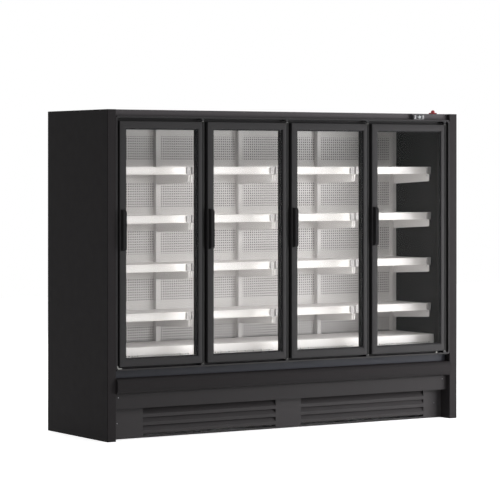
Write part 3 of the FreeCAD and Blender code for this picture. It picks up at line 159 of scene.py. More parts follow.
# The same coat on the slotted rear cover, a little duller where warm air passes
cover_coat = surface("dull_black_powder_coat", "#222122", 0.68, 1.5, 0.03, 0.18,
                     specular=0.2)
dress(cover_coat, "rear_grille")


def along(axis, profile, places):
    """A flat profile set at places along an axis: ring i is the profile at place i."""
    places = np.asarray(places, float)
    rings = np.empty((len(places), len(profile), 3))
    rings[..., axis] = places[:, None]
    rings[..., [other for other in range(3) if other != axis]] = profile
    return rings


def skin(rings, closed=False):
    """Four-sided faces between neighbouring rings of points. The last ring meets the
    first, or each end has a flat cap."""
    count, size = rings.shape[:2]
    index = np.arange(count * size).reshape(count, size)
    near = index if closed else index[:-1]
    far = np.roll(index, -1, 0) if closed else index[1:]
    cells = np.stack([near, np.roll(near, -1, 1), np.roll(far, -1, 1), far], -1)
    faces = cells.reshape(-1, 4).tolist()
    if not closed:
        faces += [index[0].tolist(), index[-1].tolist()]
    return rings.reshape(-1, 3), faces


def copies(patch, offsets):
    """The same patch at several offsets: every point plus each offset."""
    points, faces = patch
    offsets = np.atleast_2d(offsets)
    moved = (points[None] + offsets[:, None]).reshape(-1, 3)
    steps = range(0, len(offsets) * len(points), len(points))
    return moved, [[corner + step for corner in face] for step in steps for face in faces]


def make_piece(name, patches, material, body, sharp=32, bevel=0):
    """A mesh from patches of points and faces, its faces turned outwards, smooth but for
    edges sharper than an angle, with a bevel in mm where one is asked for."""
    points, faces, start = [], [], 0
    for patch_points, patch_faces in patches:
        points.append(patch_points)
        faces += [[corner + start for corner in face] for face in patch_faces]
        start += len(patch_points)
    mesh = bpy.data.meshes.new(name)
    mesh.from_pydata(np.concatenate(points).tolist(), [], faces)
    turned = bmesh.new()
    turned.from_mesh(mesh)
    bmesh.ops.recalc_face_normals(turned, faces=turned.faces)
    turned.to_mesh(mesh)
    turned.free()
    mesh.shade_smooth()
    mesh.set_sharp_from_angle(angle=math.radians(sharp))
    mesh.materials.append(material)
    piece = bpy.data.objects.new(name, mesh)
    bpy.context.collection.objects.link(piece)
    if bevel:
        edge = piece.modifiers.new("edge", "BEVEL")
        edge.width = bevel * MM
        edge.segments = 2
        edge.limit_method = "ANGLE"
        edge.angle_limit = math.radians(40)
    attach(piece, body)
    return piece


def round_outline(radius, count=16):
    """Points of a circle: radius times the cosine and sine of even angles."""
    angle = np.linspace(0, 2 * math.pi, count, endpoint=False)
    return radius * np.stack([np.cos(angle), np.sin(angle)], -1)


def lathe(axis, profile, count=16):
    """A shape turned about an axis. Each profile pair is radius, place; ring i is a
    circle of radius i at place i."""
    rings = np.stack([along(axis, round_outline(1, count) * radius, [place])[0]
                      for radius, place in profile])
    return skin(rings)


# Pan-head screws hold the rear cover and the roof, in black zinc with a soft metal sheen.
# A head is 9 mm across, so its cross recess is drawn as a sunk middle. The profile runs
# from there out over the rim
screw_black = surface("black_zinc_screw", "#2e2d2f", 0.38, 0.8, 0.01, metal=0.6)
SCREW_HEAD = np.array([(0.001, 1.6), (1.4, 1.7), (1.9, 2.5), (2.8, 2.4), (4.0, 1.6),
                       (4.5, 0), (4.4, -1)]) * MM
COVER_SCREWS, COVER_SIDE, COVER_LOW, COVER_HIGH = 9, 30 * MM, 25 * MM, 20 * MM
cover_low, cover_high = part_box("rear_grille")
places = [(x, cover_high[1], z)
          for x in np.linspace(COVER_SIDE - inner, inner - COVER_SIDE, COVER_SCREWS)
          for z in (cover_low[2] + COVER_LOW, cover_high[2] - COVER_HIGH)]
make_piece("rear_cover_screws", [copies(lathe(1, SCREW_HEAD), places)], screw_black,
           "cabinet")
ROOF_SCREWS, ROOF_SIDE, ROOF_END = 5, 20 * MM, 60 * MM
roof_low, roof_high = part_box("roof_panel")
places = [(side * (inner - ROOF_SIDE), y, roof_high[2]) for side in (-1, 1)
          for y in np.linspace(roof_low[1] + ROOF_END, roof_high[1] - ROOF_END, ROOF_SCREWS)]
make_piece("roof_screws", [copies(lathe(2, SCREW_HEAD), places)], screw_black, "cabinet")

# Base frame, feet and tray
# Rolled channels of galvanised steel, welded, on threaded feet. The zinc shows a pale
# spangle of crystals 8 to 15 mm across.
CRYSTAL = 12 * MM
zinc = surface("galvanised_steel", "#9a9c9e", 0.42, 3.0, 0.02, 0.1, metal=0.85)
tree = zinc.node_tree
spangle = add_node(tree, "ShaderNodeTexVoronoi", inputs={
    "Vector": add_node(tree, "ShaderNodeTexCoord").outputs["Object"],
    "Scale": 1 / CRYSTAL})
crystal = add_node(tree, "ShaderNodeMapRange", inputs={
    "Value": spangle.outputs["Color"], "To Min": 0.3, "To Max": 0.55})
tree.links.new(crystal.outputs["Result"],
               tree.nodes["Principled BSDF"].inputs["Roughness"])
dress(zinc, "base_frame", "levelling_feet")

# Machinery on the tray and under the deck
# A hermetic compressor in black enamel, an aluminium finned condenser with its fan, and a
# copper pipe soldered between them. The finned evaporator and its fans are of like make.
# Black enamel: a smooth coat with a clear sheen and a slow ripple
enamel = surface("black_enamel", "#1d1d1f", 0.3, 4.0, 0.03)
dress(enamel, "compressor", "condenser_fan_frame", "evaporator_fan_frames")
# Mill aluminium: the rolled fins leave faint upright lines
fin_metal = surface("mill_aluminium", "#b4b6b8", 0.38, 0.9, 0.02, metal=0.9,
                    stretch=(1, 1, 0.08))
dress(fin_metal, "condenser_coil", "evaporator_coil", "drain_pan")
# Glass-filled nylon: grey-black with a slight grain
nylon = surface("moulded_nylon", "#37373a", 0.5, 1.0, 0.02)
dress(nylon, "condenser_fan_rotor", "evaporator_rotor_1", "evaporator_rotor_2")


def bent_pipe(path, radius, bend, sides=10, steps=6):
    """A pipe bent to a path. A quadratic curve rounds each corner of the path from a
    bend's length before it to as much after it; ring i stands square to the line at
    point i."""
    path = np.array(path, float)
    t = np.linspace(0, 1, steps)[:, None]
    runs = [path[:1]]
    for before, corner, after in zip(path, path[1:], path[2:]):
        start = corner + (before - corner) / np.linalg.norm(before - corner) * bend
        end = corner + (after - corner) / np.linalg.norm(after - corner) * bend
        runs.append((1 - t) ** 2 * start + 2 * t * (1 - t) * corner + t ** 2 * end)
    line = np.concatenate(runs + [path[-1:]])
    course = np.gradient(line, axis=0)
    course /= np.linalg.norm(course, axis=1, keepdims=True)
    # The rings' first points lie square to a direction that no run follows
    side = np.cross(course, (0.31, 0.52, 0.79))
    side /= np.linalg.norm(side, axis=1, keepdims=True)
    other = np.cross(course, side)
    circle = round_outline(radius, sides)
    return skin(line[:, None] + circle[None, :, :1] * side[:, None]
                + circle[None, :, 1:] * other[:, None])


# Drawn copper: a warm bright metal, dulled in patches
copper = surface("soft_copper_pipe", "#b5704a", 0.3, 6.0, 0.02, metal=0.95)
can_low, can_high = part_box("compressor")
coil_low, coil_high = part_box("condenser_coil")
can_x = (can_low[0] + can_high[0]) / 2
can_y = (can_low[1] + can_high[1]) / 2
coil_y = (coil_low[1] + coil_high[1]) / 2
# The hot gas pipe leaves the can's top, runs under the tub and enters the coil's end
PIPE_RADIUS, PIPE_BEND, PIPE_HIGH, COIL_PORT = 4 * MM, 30 * MM, 317 * MM, 250 * MM
CAN_PORT, CAN_TURN, COIL_TURN = 50 * MM, 150 * MM, 30 * MM
IN_CAN, IN_COIL = 20 * MM, 18 * MM
coil_end = coil_high[0] + COIL_TURN
route = [(can_x - CAN_PORT, can_y, can_high[2] - IN_CAN),
         (can_x - CAN_PORT, can_y, PIPE_HIGH),
         (can_x - CAN_TURN, coil_y, PIPE_HIGH),
         (coil_end, coil_y, PIPE_HIGH),
         (coil_end, coil_y, COIL_PORT),
         (coil_high[0] - IN_COIL, coil_y, COIL_PORT)]
make_piece("refrigerant_pipe", [bent_pipe(route, PIPE_RADIUS, PIPE_BEND)], copper,
           "cabinet")

# Cold space: tub, uprights, deck and rear panels
# Steel sheet in a light grey coat, quiet and even. The uprights hold the rear panels, which
# are punched with rows of small air holes between the shelf levels.
liner = surface("light_grey_coated_sheet", "#dddbdb", 0.5, 1.5, 0.02, 0.03)
dress(liner, "tub_floor", "uprights")
# The deck has the same coat in white, with a little more sheen
deck_white = surface("white_coated_deck_sheet", "#ebe9e9", 0.45, 1.5, 0.02, 0.02)
dress(deck_white, "deck_pans")
panel = surface("punched_grey_sheet", "#dcdada", 0.5, 1.5, 0.02, 0.03)
# Real holes are about 5 mm at 10 mm; at that pitch they would melt into grey, so they
# are drawn 9 mm wide at 16 mm, as dark grey dots: painted shade where the holes open
HOLE_PITCH, HOLE_WIDE = 16 * MM, 8.64 * MM
tree = panel.node_tree
place = add_node(tree, "ShaderNodeTexCoord").outputs["Object"]
parts = add_node(tree, "ShaderNodeSeparateXYZ", inputs={"Vector": place}).outputs
offsets = []
for axis in ("X", "Z"):
    share = add_node(tree, "ShaderNodeMath", {"operation": "DIVIDE"},
                     {0: parts[axis], 1: HOLE_PITCH}).outputs[0]
    share = add_node(tree, "ShaderNodeMath", {"operation": "FRACT"}, {0: share}).outputs[0]
    share = add_node(tree, "ShaderNodeMath", {"operation": "SUBTRACT"},
                     {0: share, 1: 0.5}).outputs[0]
    offsets.append(add_node(tree, "ShaderNodeMath", {"operation": "MULTIPLY"},
                            {0: share, 1: share}).outputs[0])
radius = add_node(tree, "ShaderNodeMath", {"operation": "ADD"},
                  {0: offsets[0], 1: offsets[1]}).outputs[0]
painted_hole_shade = add_node(tree, "ShaderNodeMath", {"operation": "LESS_THAN"},
                {0: radius, 1: (HOLE_WIDE / HOLE_PITCH / 2) ** 2}).outputs[0]
# The height within one shelf pitch keeps the holes to the middle half of each space
SHELF_PITCH, BAND_SHIFT, BAND_SHARE = 300.5 * MM, 105 * MM, 0.5
band = add_node(tree, "ShaderNodeMath", {"operation": "ADD"},
                {0: parts["Z"], 1: BAND_SHIFT}).outputs[0]
band = add_node(tree, "ShaderNodeMath", {"operation": "DIVIDE"},
                {0: band, 1: SHELF_PITCH}).outputs[0]
band = add_node(tree, "ShaderNodeMath", {"operation": "FRACT"}, {0: band}).outputs[0]
band = add_node(tree, "ShaderNodeMath", {"operation": "LESS_THAN"},
                {0: band, 1: BAND_SHARE}).outputs[0]
painted_hole_shade = add_node(tree, "ShaderNodeMath", {"operation": "MULTIPLY"},
                {0: painted_hole_shade, 1: band}).outputs[0]
# The dots take a dark grey: painted shade where each hole opens
base = tree.nodes["Principled BSDF"].inputs["Base Color"]
mixed = add_node(tree, "ShaderNodeMix", {"data_type": "RGBA"}, {
    "Factor": painted_hole_shade, "A": base.links[0].from_socket, "B": linear("#646262")})
tree.links.new(mixed.outputs["Result"], base)
dress(panel, "back_panels")

# Shelves, price rails and brackets
# Sheet steel shelves on pressed brackets. A white label channel with grey end pieces clips
# to each front edge.
# Powder coat: a clean satin white, nearly the same all over
shelf_coat = surface("white_powder_coat", "#efeded", 0.42, 1.2, 0.015, 0.015)
dress(shelf_coat, "shelves", "shelf_brackets")
# Extruded PVC: a smoother white, with faint lines along its length
rail_white = surface("white_extruded_pvc", "#e8e6e6", 0.35, 3.0, 0.01, 0.015,
                     stretch=(0.1, 1, 1))
dress(rail_white, "price_rails")
# Moulded plastic: a plain mid grey with a light sheen
end_grey = surface("grey_moulded_clip", "#9c9a9b", 0.4, 1.0, 0.01, 0.03)


def rounded(corners, steps=5):
    """A closed outline with rounded corners. Each corner is across, up, radius. Its arc
    is the weighted quadratic curve that touches both runs a radius from the corner."""
    corners = np.array(corners, float)
    point = corners[:, :2]
    reach = corners[:, 2:]
    ahead = np.roll(point, -1, 0) - point
    behind = np.roll(point, 1, 0) - point
    ahead = ahead / np.linalg.norm(ahead, axis=1, keepdims=True)
    behind = behind / np.linalg.norm(behind, axis=1, keepdims=True)
    weight = np.sqrt((1 - np.sum(ahead * behind, axis=1)) / 2)[:, None, None]
    t = np.linspace(0, 1, steps)[None, :, None]
    start = (point + behind * reach)[:, None]
    end = (point + ahead * reach)[:, None]
    shares = (1 - t) ** 2, 2 * t * (1 - t) * weight, t ** 2
    arcs = shares[0] * start + shares[1] * point[:, None] + shares[2] * end
    outline = (arcs / sum(shares)).reshape(-1, 2)
    gaps = np.linalg.norm(outline - np.roll(outline, 1, 0), axis=1)
    return outline[gaps > 1e-7]


# A clip stands proud of its rail above, below and endways, and a little more at its face
DOORS, LEVELS, DOOR_PITCH, FIRST_DOOR = 4, 4, 618 * MM, -1225 * MM
SHELF_WIDE, CLIP, CLIP_DEEP, CLIP_TALL = 604 * MM, 27 * MM, 12 * MM, 47 * MM
PROUD, FACE_PROUD = 1 * MM, 1.5 * MM
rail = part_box("price_rails")[0]
y0, y1 = rail[1] - FACE_PROUD, rail[1] + CLIP_DEEP
z0, z1 = rail[2] - PROUD, rail[2] + CLIP_TALL + PROUD
clip_end = rounded([(y0, z0, 2 * MM), (y1, z0, MM), (y1, z1, MM), (y0, z1, 2 * MM)])
right = rail[0] + SHELF_WIDE
steps = [(bay * DOOR_PITCH, 0, level * SHELF_PITCH)
         for bay in range(DOORS) for level in range(LEVELS)]
spans = [right - CLIP, right + PROUD], [rail[0] - PROUD, rail[0] + CLIP]
clips = [copies(skin(along(0, clip_end, span)), steps) for span in spans]
make_piece("price_rail_end_clips", clips, end_grey, "cabinet", bevel=0.6)

# Door surround and mullions
# A black anodised aluminium portal with a narrow raised lip, and T-shaped posts behind
# the gaps between the doors. Strip lights in opal lenses run down the posts.
# Anodised aluminium: a satin black with faint upright streaks
portal = surface("black_anodised_portal", "#292829", 0.45, 2.0, 0.01, 0.05, specular=0.22,
                 stretch=(1, 1, 0.05))
dress(portal, "door_surround")
# The posts are painted darker and duller than the portal: painted shade behind the gaps
# between the doors
post_black = surface("black_post_profile", "#1d1c1d", 0.5, 2.0, 0.01, 0.05, specular=0.2)
dress(post_black, "mullions")
# Opal polycarbonate: diodes every 25 mm show through as a slow ripple of brightness
DIODE_PITCH = 25 * MM
lens = blank_material("opal_polycarbonate_lens")
tree = lens.node_tree
place = add_node(tree, "ShaderNodeTexCoord").outputs["Object"]
parts = add_node(tree, "ShaderNodeSeparateXYZ", inputs={"Vector": place}).outputs
turns = add_node(tree, "ShaderNodeMath", {"operation": "MULTIPLY"},
                 {0: parts["Z"], 1: 2 * math.pi / DIODE_PITCH}).outputs[0]
ripple = add_node(tree, "ShaderNodeMath", {"operation": "SINE"}, {0: turns}).outputs[0]
glow = add_node(tree, "ShaderNodeMapRange", inputs={
    "Value": ripple, "From Min": -1, "To Min": 0.94, "To Max": 1.0})
light = add_node(tree, "ShaderNodeMix", {"data_type": "RGBA"}, {
    "Factor": glow.outputs["Result"], "A": linear("#000000"), "B": linear("#fffdf8")})
shader = add_node(tree, "ShaderNodeBsdfPrincipled", inputs={
    "Base Color": linear("#f4f3f0"), "Roughness": 0.5,
    "Emission Color": light.outputs["Result"], "Emission Strength": 1.2})
add_node(tree, "ShaderNodeOutputMaterial", inputs={"Surface": shader.outputs["BSDF"]})
dress(lens, "led_strips")

# Strip lights end in moulded caps of white polycarbonate, pushed over the lens and a little
# wider than it. They look like plain white blocks
cap_white = surface("white_polycarbonate_cap", "#e4e4e2", 0.4, 1.0, 0.01, 0.02)
LENS_WIDE, LENS_DEEP, HALF_STEM = 15 * MM, 13 * MM, 15 * MM
CAP_TALL, CAP_GROWTH, DOOR_GAP = 14 * MM, 1.04, 12 * MM
POST_LENS, WALL_LENS = front + 62 * MM, front + 60 * MM
lens_low, lens_high = (corner[2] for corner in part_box("led_strips"))
posts = [FIRST_DOOR - DOOR_GAP / 2 + gap * DOOR_PITCH for gap in range(DOORS + 1)]
bar = np.array([(0, 0), (LENS_WIDE, 0), (LENS_WIDE, LENS_DEEP / 2),
                (LENS_WIDE / 3, LENS_DEEP), (0, LENS_DEEP)]) * CAP_GROWTH
corners = [(post + side * HALF_STEM, POST_LENS, side) for post in posts[1:-1]
           for side in (-1, 1)]
corners += [(-inner, WALL_LENS, 1), (inner, WALL_LENS, -1)]
ends = (lens_low, lens_low + CAP_TALL), (lens_high - CAP_TALL, lens_high)
caps = [skin(along(2, bar * (side, 1) + (x, y), span))
        for x, y, side in corners for span in ends]
make_piece("strip_light_caps", caps, cap_white, "cabinet", bevel=0.8)

# Natural nylon, a milky grey: a guide for the first door's free corner sits in the portal's
# lower left corner, and a stop pad stands under the last door
natural_nylon = surface("natural_moulded_nylon", "#b6b6b2", 0.5, 1.0, 0.01, 0.02)
LIP, JAMB, PAD_INSET = 11 * MM, 9 * MM, 106 * MM
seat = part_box("door_surround")[0][2] + LIP
guide = rounded([(0, 19, 1), (0, 0, 11), (31, 0, 1), (31, 4.5, 1), (4.5, 4.5, 5),
                 (4.5, 19, 1)]) * MM + (JAMB - inner, seat)
pad = rounded([(0, 0, 1), (9, 0, 1), (9, 9, 2), (0, 9, 2)]) * MM + (inner - PAD_INSET, seat)
for name, outline, deep in (("portal_corner_guide", guide, (1, 10)),
                            ("door_stop_pad", pad, (6, 14))):
    make_piece(name, [skin(along(1, outline, front + np.array(deep) * MM))], natural_nylon,
               "cabinet", bevel=0.5)

# Behind the portal each end wall has a cover strip, dark brown rigid PVC with a rounded
# rear edge
cover_brown = surface("dark_brown_pvc_cover", "#2e2a27", 0.4, 2.0, 0.01, 0.06, specular=0.3,
                      stretch=(1, 1, 0.05))
strip = rounded([(0, 75, 0), (7, 75, 2), (7, 130, 3), (0, 131, 0)], 4) * MM + (0, front)
covers = [skin(along(2, strip * (-side, 1) + (side * inner, 0), [lens_low, lens_high]))
          for side in (-1, 1)]
make_piece("end_wall_cover_strips", covers, cover_brown, "cabinet")

# Front bands under the doors
# From the top: a folded sill, a hollow bumper with a full round nose between moulded
# caps, a folded cove panel, and the plinth's kick plate with its louvres.
# The sill's coat is painted bluish: a painted reflection of the sky, with a touch more
# sheen than the bands below it
sill_coat = surface("satin_black_coat_painted_sky_reflection", "#323338", 0.5, 1.2, 0.02, 0.05,
                    specular=0.25)
dress(sill_coat, "sill_panel")
# The cove panel's is a plain charcoal, painted darker than the kick plate's: painted shade
# under the bumper
band_coat = surface("cove_coat_painted_shade", "#282627", 0.5, 1.2, 0.02, 0.05, specular=0.22)
dress(band_coat, "cove_panel")
# The kick plate and the header have the same coat, painted lighter than the cove's, the
# header's lightest: painted light where the lamps fall on them more strongly
plinth_coat = surface("kick_plate_coat_painted_light", "#333132", 0.5, 1.2, 0.02, 0.05,
                      specular=0.22)
dress(plinth_coat, "kick_plate")
header_coat = surface("header_coat_painted_light", "#434042", 0.5, 1.2, 0.02, 0.05, specular=0.22)
dress(header_coat, "header_fascia")
# Extruded rigid PVC: a dull black with faint lines along its length
bumper_pvc = surface("black_extruded_pvc", "#211f20", 0.55, 1.5, 0.03, 0.06,
                     specular=0.12, stretch=(0.04, 1, 1))
dress(bumper_pvc, "bumper", "bumper_end_caps")

# A small screw of bright zinc, a pale point to the eye, holds each end of the kick plate and
# of the cove panel: inset from the end wall, face and height
screw_zinc = surface("zinc_plated_screw", "#a2a2a5", 0.35, 0.8, 0.01, metal=0.9)
SMALL_HEAD = SCREW_HEAD * (0.7, -0.7)
kick_face, cove_face = (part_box(name)[0][1] for name in ("kick_plate", "cove_panel"))
ends = (58 * MM, kick_face, 98 * MM), (34 * MM, cove_face, 260 * MM)
places = [(side * (inner - inset), face, z) for side in (-1, 1) for inset, face, z in ends]
make_piece("front_screws", [copies(lathe(1, SMALL_HEAD), places)], screw_zinc, "cabinet")

# Header, controller and roof valve
# The header carries a small temperature controller with a number display and four keys.
# A brass valve with a red vinyl-dipped butterfly handle stands on the roof.
# Moulded ABS: a dark grey with a very fine grain
pod_grey = surface("moulded_abs_housing", "#4a4a4c", 0.42, 0.8, 0.01, specular=0.3)
dress(pod_grey, "controller_housing")


def plate(across, up, radius, steps=5):
    """A rectangle with its four corners rounded, from its reach across and its reach up."""
    (x0, x1), (z0, z1) = across, up
    return rounded([(x0, z0, radius), (x1, z0, radius), (x1, z1, radius), (x0, z1, radius)],
                   steps)


# Smoked acrylic: near black and glossy, so the digits stand out
smoked = surface("smoked_acrylic_window", "#131416", 0.12, 6.0, 0.002)
pod_low, pod_high = (np.array(corner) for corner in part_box("controller_housing"))
pod = ((pod_low + pod_high) / 2)[[0, 2]]
window = plate((-17.6, 17.6), (-10.6, 10.6), 1.5) * MM + pod
behind = pod_low[1] + np.array([0.5, 0.95]) * MM
make_piece("controller_window", [skin(along(1, window, behind))], smoked, "cabinet")


def stroke(across, up, half, upright):
    """One stroke of a digit: a bar of a half length with pointed ends, 0.3 mm thick."""
    bar = np.array([(-half, 0), (-half + 1, -1), (half - 1, -1), (half, 0), (half - 1, 1),
                    (-half + 1, 1)])
    bar = bar[:, ::-1] if upright else bar
    outline = (bar + (across, up)) * MM + pod
    return skin(along(1, outline, pod_low[1] + np.array([0.2, 0.52]) * MM))


# A minus, a one and an eight glow a pale cool white. A stroke's middle lies 3.8 mm from the
# digit's, or twice that
lit_digits = surface("lit_display_digits", "#d5dadc", 0.4, 2.0, 0.005)
shader = lit_digits.node_tree.nodes["Principled BSDF"]
shader.inputs["Emission Color"].default_value = linear("#d5dadc")
shader.inputs["Emission Strength"].default_value = 0.35
MINUS, ONE, EIGHT, HALF_STROKE, ARM = -11, -2.5, 7.5, 3.4, 3.8
digits = [stroke(MINUS, 0, 3, False)]
digits += [stroke(ONE, up, HALF_STROKE, True) for up in (ARM, -ARM)]
digits += [stroke(EIGHT, up, HALF_STROKE, False) for up in (-2 * ARM, 0, 2 * ARM)]
digits += [stroke(EIGHT + arm, up, HALF_STROKE, True)
           for arm in (-ARM, ARM) for up in (-ARM, ARM)]
make_piece("controller_digits", digits, lit_digits, "cabinet")
# Silicone keys: a matt mid grey
key_rubber = surface("grey_silicone_key", "#a9a8aa", 0.6, 1.0, 0.01)
dress(key_rubber, *[f"controller_key_{number}" for number in range(1, 5)])
# Turned brass: a bright yellow metal
brass = surface("turned_brass", "#b89554", 0.3, 1.0, 0.01, metal=0.95)
dress(brass, "roof_valve")


def wings(reach, high, count=41, sides=24):
    """The handle's two wings, in mm: oval rings along X over the hub's foot. Half width
    and half height fall off from the hub by bell curves, and both close at the tips as
    the root of one minus the place's eighth power."""
    t = np.linspace(-1, 1, count)[:, None]
    turn = np.linspace(0, 2 * math.pi, sides, endpoint=False)[None, :]
    end = np.sqrt(np.clip(1 - np.abs(t) ** 8, 0.0004, 1))
    thick = (3.6 + 3.2 * np.exp(-(t / 0.45) ** 2)) * end
    tall = (4.6 + 1.6 * np.exp(-(t / 0.4) ** 2)) * end
    return np.stack([np.broadcast_to(reach * t, (count, sides)), thick * np.cos(turn),
                     high + tall * np.sin(turn)], -1)


# Vinyl dip: a thick, even red skin with rounded edges over the cast handle
dip = surface("red_dipped_vinyl", "#a3262c", 0.35, 2.0, 0.02)
HUB = np.array([(4.2, 0.1), (11.8, 0.1), (12.8, 1.2), (12.8, 16), (12.3, 20), (10.6, 24),
                (7.6, 26.6), (3.5, 27.7), (0.01, 27.9)]) * MM
knob_low, knob_high = (np.array(corner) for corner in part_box("valve_handle"))
knob = (knob_low + knob_high) / 2 * (1, 1, 0) + knob_low * (0, 0, 1)
butterfly = make_piece("butterfly_handle", [
    copies(skin(wings(33.9, 6.4) * MM), knob), copies(lathe(2, HUB, 28), knob)],
    dip, "valve")
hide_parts("valve_handle")

# Doors
# Each is a black anodised aluminium frame with mitred corners round a sealed glazing
# unit, with a rounded hinge-side profile, a magnetic gasket and a moulded pull.
# The anodised frame is a satin black with faint upright streaks, and the hinge-side profile
# is painted darker: painted shade in the gap between the doors. The gasket's rubber and the
# spacer are matt. The pull's ABS has a fine grain
frame_black = surface("black_anodised_profile", "#2c2b2c", 0.45, 2.0, 0.01, 0.05,
                      specular=0.2, stretch=(1, 1, 0.05))
edge_black = surface("black_edge_profile", "#161616", 0.45, 2.0, 0.01, 0.05, specular=0.15)
gasket_rubber = surface("magnetic_gasket_rubber", "#1b1a1b", 0.7, 1.5, 0.03, specular=0.2)
handle_abs = surface("satin_black_abs", "#232223", 0.55, 1.0, 0.02, specular=0.08)
spacer_black = surface("warm_edge_spacer", "#232224", 0.6, 1.5, 0.01, specular=0.2)
# Clear float glass: a faint green-grey tint and a sharp sheen
glass = blank_material("clear_sealed_glazing")
shader = add_node(glass.node_tree, "ShaderNodeBsdfPrincipled", inputs={
    "Base Color": linear("#141918"), "Roughness": 0.02, "Alpha": 0.074,
    "Specular IOR Level": 0.5})
add_node(glass.node_tree, "ShaderNodeOutputMaterial", inputs={
    "Surface": shader.outputs["BSDF"]})

STILE, HINGE_STILE, RAIL_LOW, RAIL_HIGH, BITE = 42 * MM, 28 * MM, 45 * MM, 43 * MM, 10 * MM
# The frame's section: share of the side's width, extra mm outwards, mm behind the front.
# A rounded bead borders the glass, and the outer edge is rounded 3 mm.
SECTION = np.array([
    (0, 0.0, 4.6), (0, 0.0, 2.2), (0, 0.5, 1.4), (0, 1.4, 1.0), (0, 3.0, 1.0),
    (0, 3.6, 0.8), (0, 4.0, 0.2), (0, 4.8, 0.0), (1, -3.0, 0.0), (1, -1.6, 0.25),
    (1, -0.5, 1.1), (1, 0.0, 3.0), (1, 0.0, 40.0), (0, 0.0, 40.0), (0, 0.0, 35.2),
    (0, 10.0, 35.2), (0, 10.0, 4.6),
])
# The gasket's: a foot in the frame, a pinched bellows and a square magnet pocket
SEAL = 10 * MM
BELLOWS = np.array([
    (0, 0.0, 40.0), (0, 0.0, 41.0), (0, 2.6, 42.0), (0, 2.6, 43.4), (0, 0.4, 44.4),
    (0, 0.0, 45.0), (0, 0.0, 47.2), (0, 0.5, 47.7), (1, -0.5, 47.7), (1, 0.0, 47.2),
    (1, 0.0, 45.0), (1, -0.4, 44.4), (1, -2.6, 43.4), (1, -2.6, 42.0), (1, 0.0, 41.0),
    (1, 0.0, 40.0),
])
# The spacer's: a black bar with bevelled edges that fills the gap between the panes
SPACER = np.array([(0, -7.0, 9.65), (0, -6.4, 9.05), (0, 9.5, 9.05), (0, 9.5, 30.95),
                   (0, -6.4, 30.95), (0, -7.0, 30.35)])


def mitred_bars(opening, widths, section, joint=0.15):
    """Four bars round an opening, each a section carried from mitre to mitre. A corner's
    point is the opening's corner moved out by share times width plus the extra. Bars stop
    short of each mitre by joint mm."""
    x0, x1, z0, z1 = opening
    left, right, low, high = widths
    share, extra, deep = section.T * np.array([[1], [MM], [MM]])
    out = {name: share * width + extra for name, width in
           (("left", left), ("right", right), ("low", low), ("high", high))}
    y = front + deep
    corners = [
        np.stack([x0 - out["left"], y, z0 - out["low"]], -1),
        np.stack([x1 + out["right"], y, z0 - out["low"]], -1),
        np.stack([x1 + out["right"], y, z1 + out["high"]], -1),
        np.stack([x0 - out["left"], y, z1 + out["high"]], -1),
    ]
    bars = []
    for start, end in zip(corners, corners[1:] + corners[:1]):
        course = end[:1] - start[:1]
        course = course / np.linalg.norm(course) * joint * MM
        bars.append(skin(np.stack([start + course, end - course])))
    return bars


def pane(opening, behind):
    """One pane, 4 mm thick, from mm behind the front, let into the frame by the bite. Its
    rings are rounded rectangles, drawn in 0.5 mm at both faces for the ground edges."""
    x0, x1, z0, z1 = opening
    rings = []
    for ground, deep in ((0.5, 0), (0, 0.5), (0, 3.5), (0.5, 4)):
        bite = BITE - ground * MM
        outline = plate((x0 - bite, x1 + bite), (z0 - bite, z1 + bite), MM, 3)
        rings.append(along(1, outline, [front + (behind + deep) * MM])[0])
    return skin(np.stack(rings))


def pull_shell(low, high, count=61):
    """A C-shaped section, open towards the glass, set at even heights. Its height over the
    frame follows a quarter ellipse in the last 22 mm at both ends, and its hollow closes
    there by a smooth step."""
    z = low[2] + (high[2] - low[2]) * np.linspace(0, 1, count)[:, None]
    from_end = np.minimum(z - low[2], high[2] - z)
    rise = np.sqrt(1 - (1 - np.clip(from_end / (22 * MM), 0, 1)) ** 2) * 0.93 + 0.07
    closing = 1 - np.clip((from_end - 9 * MM) / (12 * MM), 0, 1)
    closing = closing ** 2 * (3 - 2 * closing)
    outline = rounded([(0, 0, 0), (25, 0, 0), (25, 3, 0.8), (6, 3, 2), (6, 24, 3),
                       (25, 23, 1.5), (25, 30, 3), (0, 30, 3)], 4)
    hollow = (outline[:, 1] > 2.5) & (outline[:, 1] < 25)
    across = outline[:, 0] + closing * np.where(hollow, 25 - outline[:, 0], 0)
    x = low[0] + across * MM
    y = front - outline[:, 1] * rise * MM
    return skin(np.stack([x, y, np.broadcast_to(z, x.shape)], -1))


for number in range(1, DOORS + 1):
    door = f"door_{number}"
    low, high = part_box(f"door_frame_{number}")
    opening = (low[0] + STILE, high[0] - HINGE_STILE, low[2] + RAIL_LOW,
               high[2] - RAIL_HIGH)
    bars = mitred_bars(opening, (STILE, HINGE_STILE, RAIL_LOW, RAIL_HIGH), SECTION)
    ring = make_piece(f"{door}_frame_bars", bars, frame_black, door)
    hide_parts(f"door_frame_{number}")
    dress(edge_black, f"door_edge_{number}")
    low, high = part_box(f"door_gasket_{number}")
    ring = (low[0] + SEAL, high[0] - SEAL, low[2] + SEAL, high[2] - SEAL)
    seal = make_piece(f"{door}_gasket_bellows", mitred_bars(ring, (SEAL,) * 4, BELLOWS, 0),
                      gasket_rubber, door)
    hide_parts(f"door_gasket_{number}")

    # The outer and the inner pane, 5 and 31 mm behind the front. The middle one isn't
    # drawn: through two doors in line the faces of three panes each are more than a
    # render passes, and the glass would turn black
    glazing = make_piece(f"{door}_glass_panes", [pane(opening, 5), pane(opening, 31)],
                         glass, door)
    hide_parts(f"door_glass_{number}")
    make_piece(f"{door}_glass_spacers", mitred_bars(opening, (0, 0, 0, 0), SPACER, 0),
               spacer_black, door)
    low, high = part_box(f"door_handle_{number}")
    pull = make_piece(f"{door}_pull", [pull_shell(low, high)], handle_abs, door, sharp=50)
    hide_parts(f"door_handle_{number}")

